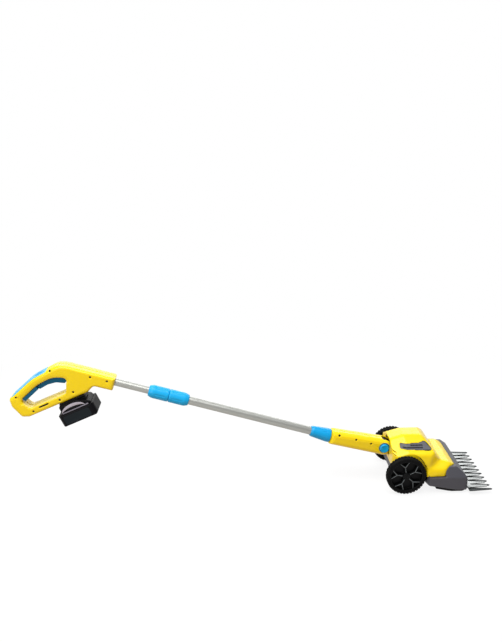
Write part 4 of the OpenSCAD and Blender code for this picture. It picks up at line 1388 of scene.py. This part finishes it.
@dataclass
class BatteryPack:
    """The battery's case with its bare panels, side pads, painted highlights along the pads and the cover's
    foot, and ribbed release button, in the rail's frame.
    """

    mouldings: tuple[Moulding, ...] = (
        Moulding("battery_lid", "battery_cover", 0.7, 6, finish=BATTERY_BLACK),
        Moulding("battery_tub", "battery_case", 1.0, 5, finish=BATTERY_BLACK),
    )
    panel_x: Pair = (-90.0, -13.0)
    panel_y: Pair = (36.0, 37.35)
    panel_z: Pair = (-57.0, -32.5)
    panel_corner: Corner = (5.0, 6)
    panel_rim: float = 1.1
    panel_dish: float = 0.3
    panel_edge: float = 0.12
    arch_steps: int = 64
    pad_mid: float = -53.0
    pad_half: float = 37.0
    pad_low: float = -25.6
    pad_h: float = 20.0
    pad_y: Pair = (26.0, 32.6)
    pad_corner: Corner = (2.6, 5)
    pad_shade: float = 50.0
    crescent_rise: float = 0.5
    crescent_share: float = 0.56
    crescent_scale: float = 0.94
    crescent_edge: float = 0.25
    lip_x: Pair = (-86.0, -10.0)
    lip_y: Pair = (29.0, 34.2)
    lip_z: Pair = (-26.4, -23.2)
    lip_corner: Corner = (1.4, 4)
    release_low: Point = (-104.0, -15.0, -40.3)
    release_high: Point = (-97.8, 15.0, -32.3)
    release_strips: int = 9
    release_groove: float = 0.6
    release_edge: float = 0.2

    def build(self, bench: Bench) -> None:
        """Makes the case and what is on it.

        Args:
            bench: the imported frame.
        """
        for moulding in self.mouldings:
            moulding.build(bench)
        for side, name in ((-1, "near"), (1, "far")):
            bench.fit(self._panel(f"battery_panel_{name}", side), PANEL, "battery_tub")
            bench.fit(self._pad(f"battery_pad_{name}", side), BATTERY_BLACK, "battery_lid")
            # The pale crescent on each pad is a painted highlight.
            bench.fit(self._crescent(f"battery_crescent_{name}", side), HIGHLIGHT_CRESCENT, "battery_lid")
            # The pale grey lip at the cover's foot is a painted highlight.
            bench.fit(self._lip(f"battery_lip_{name}", side), HIGHLIGHT_LIP, "battery_lid")
        bench.keep(self._release(), BLACK, "battery_release")

    def _release(self) -> Piece:
        """Makes the release button, with grooves for the thumb.

        Returns:
            The button.
        """
        shaper = Shaper.block("release_push", self.release_low, self.release_high)
        start = self.release_low[1]
        strip = (self.release_high[1] - start) / self.release_strips
        for i in range(1, self.release_strips):
            bpy.ops.mesh.select_all(action="SELECT")
            bpy.ops.mesh.bisect(plane_co=(0, (start + i * strip) * MM, 0), plane_no=(0, 1, 0))
        shaper.pick_faces(lambda at, normal: normal.x < -FACING and int((at.y - start) / strip) % 2 == 1)
        shaper.extrude(self.release_groove, 0, 0)
        return shaper.close(PLACES.on_rail(), self.release_edge)

    @staticmethod
    def _side_block(name: str, side: int, x: Pair, y: Pair, z: Pair) -> Shaper:
        """Starts a block on one side, from its reach along each axis with Y outward."""
        low, high = sorted((side * y[0], side * y[1]))
        return Shaper.block(name, (x[0], low, z[0]), (x[1], high, z[1]))

    def _panel(self, name: str, side: int) -> Piece:
        """Makes a bare panel with a raised rim.

        Args:
            name: the piece's name.
            side: -1 for the near face and 1 for the far one.

        Returns:
            The panel.
        """
        shaper = self._side_block(name, side, self.panel_x, self.panel_y, self.panel_z)
        shaper.pick_edges(lambda a, b: abs(a.y - b.y) > NEAR)
        shaper.bevel(self.panel_corner)
        shaper.pick_faces(lambda at, normal: normal.y * side > FACING)
        bpy.ops.mesh.inset(thickness=self.panel_rim * MM)
        shaper.extrude(0, -side * self.panel_dish, 0)
        return shaper.close(PLACES.on_rail(), self.panel_edge)

    def _lip(self, name: str, side: int) -> Piece:
        """Makes the lip at the cover's foot on one side, pale grey as a painted highlight.

        Args:
            name: the piece's name.
            side: -1 for the near side and 1 for the far one.

        Returns:
            The lip.
        """
        shaper = self._side_block(name, side, self.lip_x, self.lip_y, self.lip_z)
        shaper.pick_edges(lambda a, b: min(a.y * side, b.y * side) > self.lip_y[1] - NEAR)
        shaper.bevel(self.lip_corner)
        piece = shaper.close(PLACES.on_rail())
        shade(piece)
        return piece

    def _arch(self, name: str, y: float) -> Shaper:
        """Starts a piece from an ellipse that lies against one side of the cover.

        Args:
            name: the piece's name.
            y: where the ellipse lies across the battery, in millimetres.

        Returns:
            The shaper.
        """
        bpy.ops.mesh.primitive_circle_add(
            vertices=self.arch_steps,
            radius=1.0,
            fill_type="NGON",
            rotation=(math.pi / 2, 0, 0),
            location=Vector((self.pad_mid, y, self.pad_low)) * MM,
        )
        bpy.context.object.scale = (self.pad_half * MM, self.pad_h * MM, 1.0)
        take_place()
        return Shaper(name)

    def _crescent(self, name: str, side: int) -> Piece:
        """Makes the pale crescent along the pad's arch, a painted highlight on the black cover.

        Args:
            name: the piece's name.
            side: -1 for the near side and 1 for the far one.

        Returns:
            The crescent.
        """
        foot = Vector((self.pad_mid, 0, self.pad_low)) * MM
        scale = self.crescent_scale
        shaper = self._arch(name, side * (self.pad_y[1] - self.crescent_rise))
        shaper.pick_points(lambda at: at.z < self.pad_low - NEAR)
        bpy.ops.transform.resize(value=(1, 1, -self.crescent_share), center_override=foot)
        bpy.ops.mesh.select_all(action="SELECT")
        bpy.ops.transform.resize(value=(scale, 1, scale), center_override=foot)
        shaper.extrude(0, side * 2 * self.crescent_rise, 0)
        shaper.tidy()
        return shaper.close(PLACES.on_rail(), self.crescent_edge)

    def _pad(self, name: str, side: int) -> Piece:
        """Makes the arched pad on one side of the cover.

        Args:
            name: the piece's name.
            side: -1 for the near side and 1 for the far one.

        Returns:
            The pad.
        """
        shaper = self._arch(name, side * self.pad_y[0])
        foot = Vector((0, 0, self.pad_low)) * MM
        bpy.ops.mesh.bisect(plane_co=foot, plane_no=(0, 0, 1), clear_inner=True, use_fill=False)
        bpy.ops.mesh.select_all(action="SELECT")
        shaper.extrude(0, side * (self.pad_y[1] - self.pad_y[0]), 0)
        shaper.tidy()
        shaper.pick_edges(lambda a, b: min(a.y * side, b.y * side) > self.pad_y[1] - NEAR)
        shaper.bevel(self.pad_corner, clamp=True)
        piece = shaper.close(PLACES.on_rail())
        shade(piece, self.pad_shade)
        return piece


@dataclass(frozen=True)
class Lamp:
    """A soft lamp that faces a point, in metres and watts."""

    name: str
    at: Point
    to: Point
    size: Pair
    watts: float

    def build(self) -> None:
        """Adds the lamp, which no direct look sees."""
        bpy.ops.object.light_add(type="AREA", location=self.at)
        lamp = bpy.context.object
        lamp.name = self.name
        lamp.data.shape = "RECTANGLE"
        lamp.data.size, lamp.data.size_y = self.size
        lamp.data.energy = self.watts
        lamp.visible_camera = False
        lamp.rotation_euler = (Vector(self.to) - Vector(self.at)).to_track_quat("-Z", "Y").to_euler()


@dataclass
class Studio:
    """Camera at the photograph's angle, a pale sweep and soft lamps, in metres and degrees."""

    camera_at: Point = (-0.651, -1.749, 1.055)
    pitch_down: float = 18.2
    turn_right: float = 2.5
    focal_px: float = 690.0
    frame_px: float = 642.0
    sensor_mm: float = 36.0
    camera_reach: float = 60.0
    floor_reach: float = 9.0
    floor_drop: float = 0.0006
    sweep_y: float = 3.2
    sweep_r: float = 1.6
    sweep_steps: int = 24
    wall_h: float = 6.0
    bounce: Light = (0.34, 0.24, 0.16, 1.0)
    paper: Light = (0.95, 0.95, 0.95, 1.0)
    glow_x: float = -0.55
    glow_squeeze: float = 0.8
    glow_reach: Pair = (0.3, 1.4)
    glow_share: Pair = (0.86, 1.0)
    sky: Light = (0.96, 0.98, 1.0, 1.0)
    sky_strength: float = 0.34
    lamps: tuple[Lamp, ...] = (
        Lamp("key_lamp", (-0.9, -0.5, 2.7), (-0.6, 0.0, 0.2), (2.4, 2.0), 76.0),
        Lamp("fill_lamp", (-2.2, -2.6, 1.3), (-0.6, 0.0, 0.2), (1.8, 1.8), 37.0),
        Lamp("back_panel", (-0.5, 2.3, 1.3), (-0.6, 0.0, 0.3), (4.2, 1.2), 40.0),
    )

    def build(self) -> None:
        """Sets up all that isn't part of the object."""
        bpy.context.scene.view_settings.view_transform = "Standard"
        self._camera()
        self._floor()
        for lamp in self.lamps:
            lamp.build()
        self._world()

    def _camera(self) -> None:
        """Adds the camera."""
        pitch = math.radians(self.pitch_down)
        turn = math.radians(self.turn_right)
        right = Vector((math.cos(turn), -math.sin(turn), 0))
        ahead = Vector((math.sin(turn) * math.cos(pitch), math.cos(turn) * math.cos(pitch), -math.sin(pitch)))
        axes = Matrix((right, right.cross(ahead), -ahead)).transposed()
        bpy.ops.object.camera_add(location=self.camera_at)
        camera = bpy.context.object
        camera.name = "camera"
        camera.matrix_world = Matrix.Translation(self.camera_at) @ axes.to_4x4()
        camera.data.sensor_width = self.sensor_mm
        camera.data.lens = self.focal_px / self.frame_px * self.sensor_mm
        camera.data.clip_end = self.camera_reach
        bpy.context.scene.camera = camera

    def _floor(self) -> None:
        """Adds the floor, swept up behind the object."""
        reach, end = self.floor_reach, self.sweep_y
        bpy.ops.mesh.primitive_plane_add(size=2)
        floor = bpy.context.object
        floor.scale = (reach, (reach + end) / 2, 1)
        floor.location = (0, (end - reach) / 2, -self.floor_drop)
        take_place()
        shaper = Shaper("studio_floor")
        shaper.pick_edges(lambda a, b: min(a.y, b.y) > end / MM - NEAR)
        centre = (0, end, self.sweep_r)
        bpy.ops.mesh.spin(steps=self.sweep_steps, angle=-math.pi / 2, center=centre, axis=(1, 0, 0))
        bpy.ops.mesh.extrude_edges_move(TRANSFORM_OT_translate={"value": (0, 0, self.wall_h)})
        shaper.close()
        bpy.ops.object.shade_smooth()
        floor.data.materials.append(self._floor_material())

    def _floor_material(self) -> bpy.types.Material:
        """Pale paper that a direct look sees nearly white, with the object's shadow on it.

        Returns:
            The material.
        """
        graph = Graph.of_material("studio_paper")
        path = graph.add("ShaderNodeLightPath")
        rays = ("Is Camera Ray", "Is Glossy Ray", "Is Transmission Ray")
        direct, mirrored, through = [Number(graph, path.outputs[ray]) for ray in rays]
        seen = direct + mirrored + through
        paper = graph.add("ShaderNodeBsdfDiffuse", None, {
            "Color": graph.between(seen, self.bounce, self.paper),
        })
        white = graph.add("ShaderNodeEmission", None, {"Color": WHITE, "Strength": 1.0})
        place = graph.add("ShaderNodeSeparateXYZ", None, {0: graph.place()})
        along = (Number(graph, place.outputs["X"]) - self.glow_x) * self.glow_squeeze
        across = Number(graph, place.outputs["Y"])
        far = graph.add("ShaderNodeMapRange", {"clamp": True}, {
            "Value": along * along + across * across,
            "From Min": self.glow_reach[0],
            "From Max": self.glow_reach[1],
            "To Min": self.glow_share[0],
            "To Max": self.glow_share[1],
        })
        mixed = graph.add("ShaderNodeMixShader", None, {
            0: seen * Number(graph, far.outputs["Result"]), 1: paper.outputs[0], 2: white.outputs[0],
        })
        graph.add("ShaderNodeOutputMaterial", None, {"Surface": mixed.outputs[0]})
        return graph.owner

    def _world(self) -> None:
        """Gives an even light from all round, and white to a direct look."""
        graph = Graph(bpy.data.worlds.new("studio_world"))
        bpy.context.scene.world = graph.owner
        seen = graph.add("ShaderNodeLightPath").outputs["Is Camera Ray"]
        soft = graph.add("ShaderNodeBackground", None, {"Color": self.sky, "Strength": self.sky_strength})
        white = graph.add("ShaderNodeBackground", None, {"Color": WHITE})
        mixed = graph.add("ShaderNodeMixShader", None, {0: seen, 1: soft.outputs[0], 2: white.outputs[0]})
        graph.add("ShaderNodeOutputWorld", None, {"Surface": mixed.outputs[0]})


def main() -> None:
    """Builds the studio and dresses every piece."""
    logging.basicConfig(level=logging.INFO, format="%(message)s")
    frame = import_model()
    select_none()
    Studio().build()
    bench = Bench(frame)
    bench.dress_nodes()
    units = (HeadUnit(), CutterBar(), WheelPair(), HingeArm(), TelescopicPole(), HandleUnit(), BatteryPack())
    for unit in units:
        unit.build(bench)


if __name__ == "__main__":
    main()
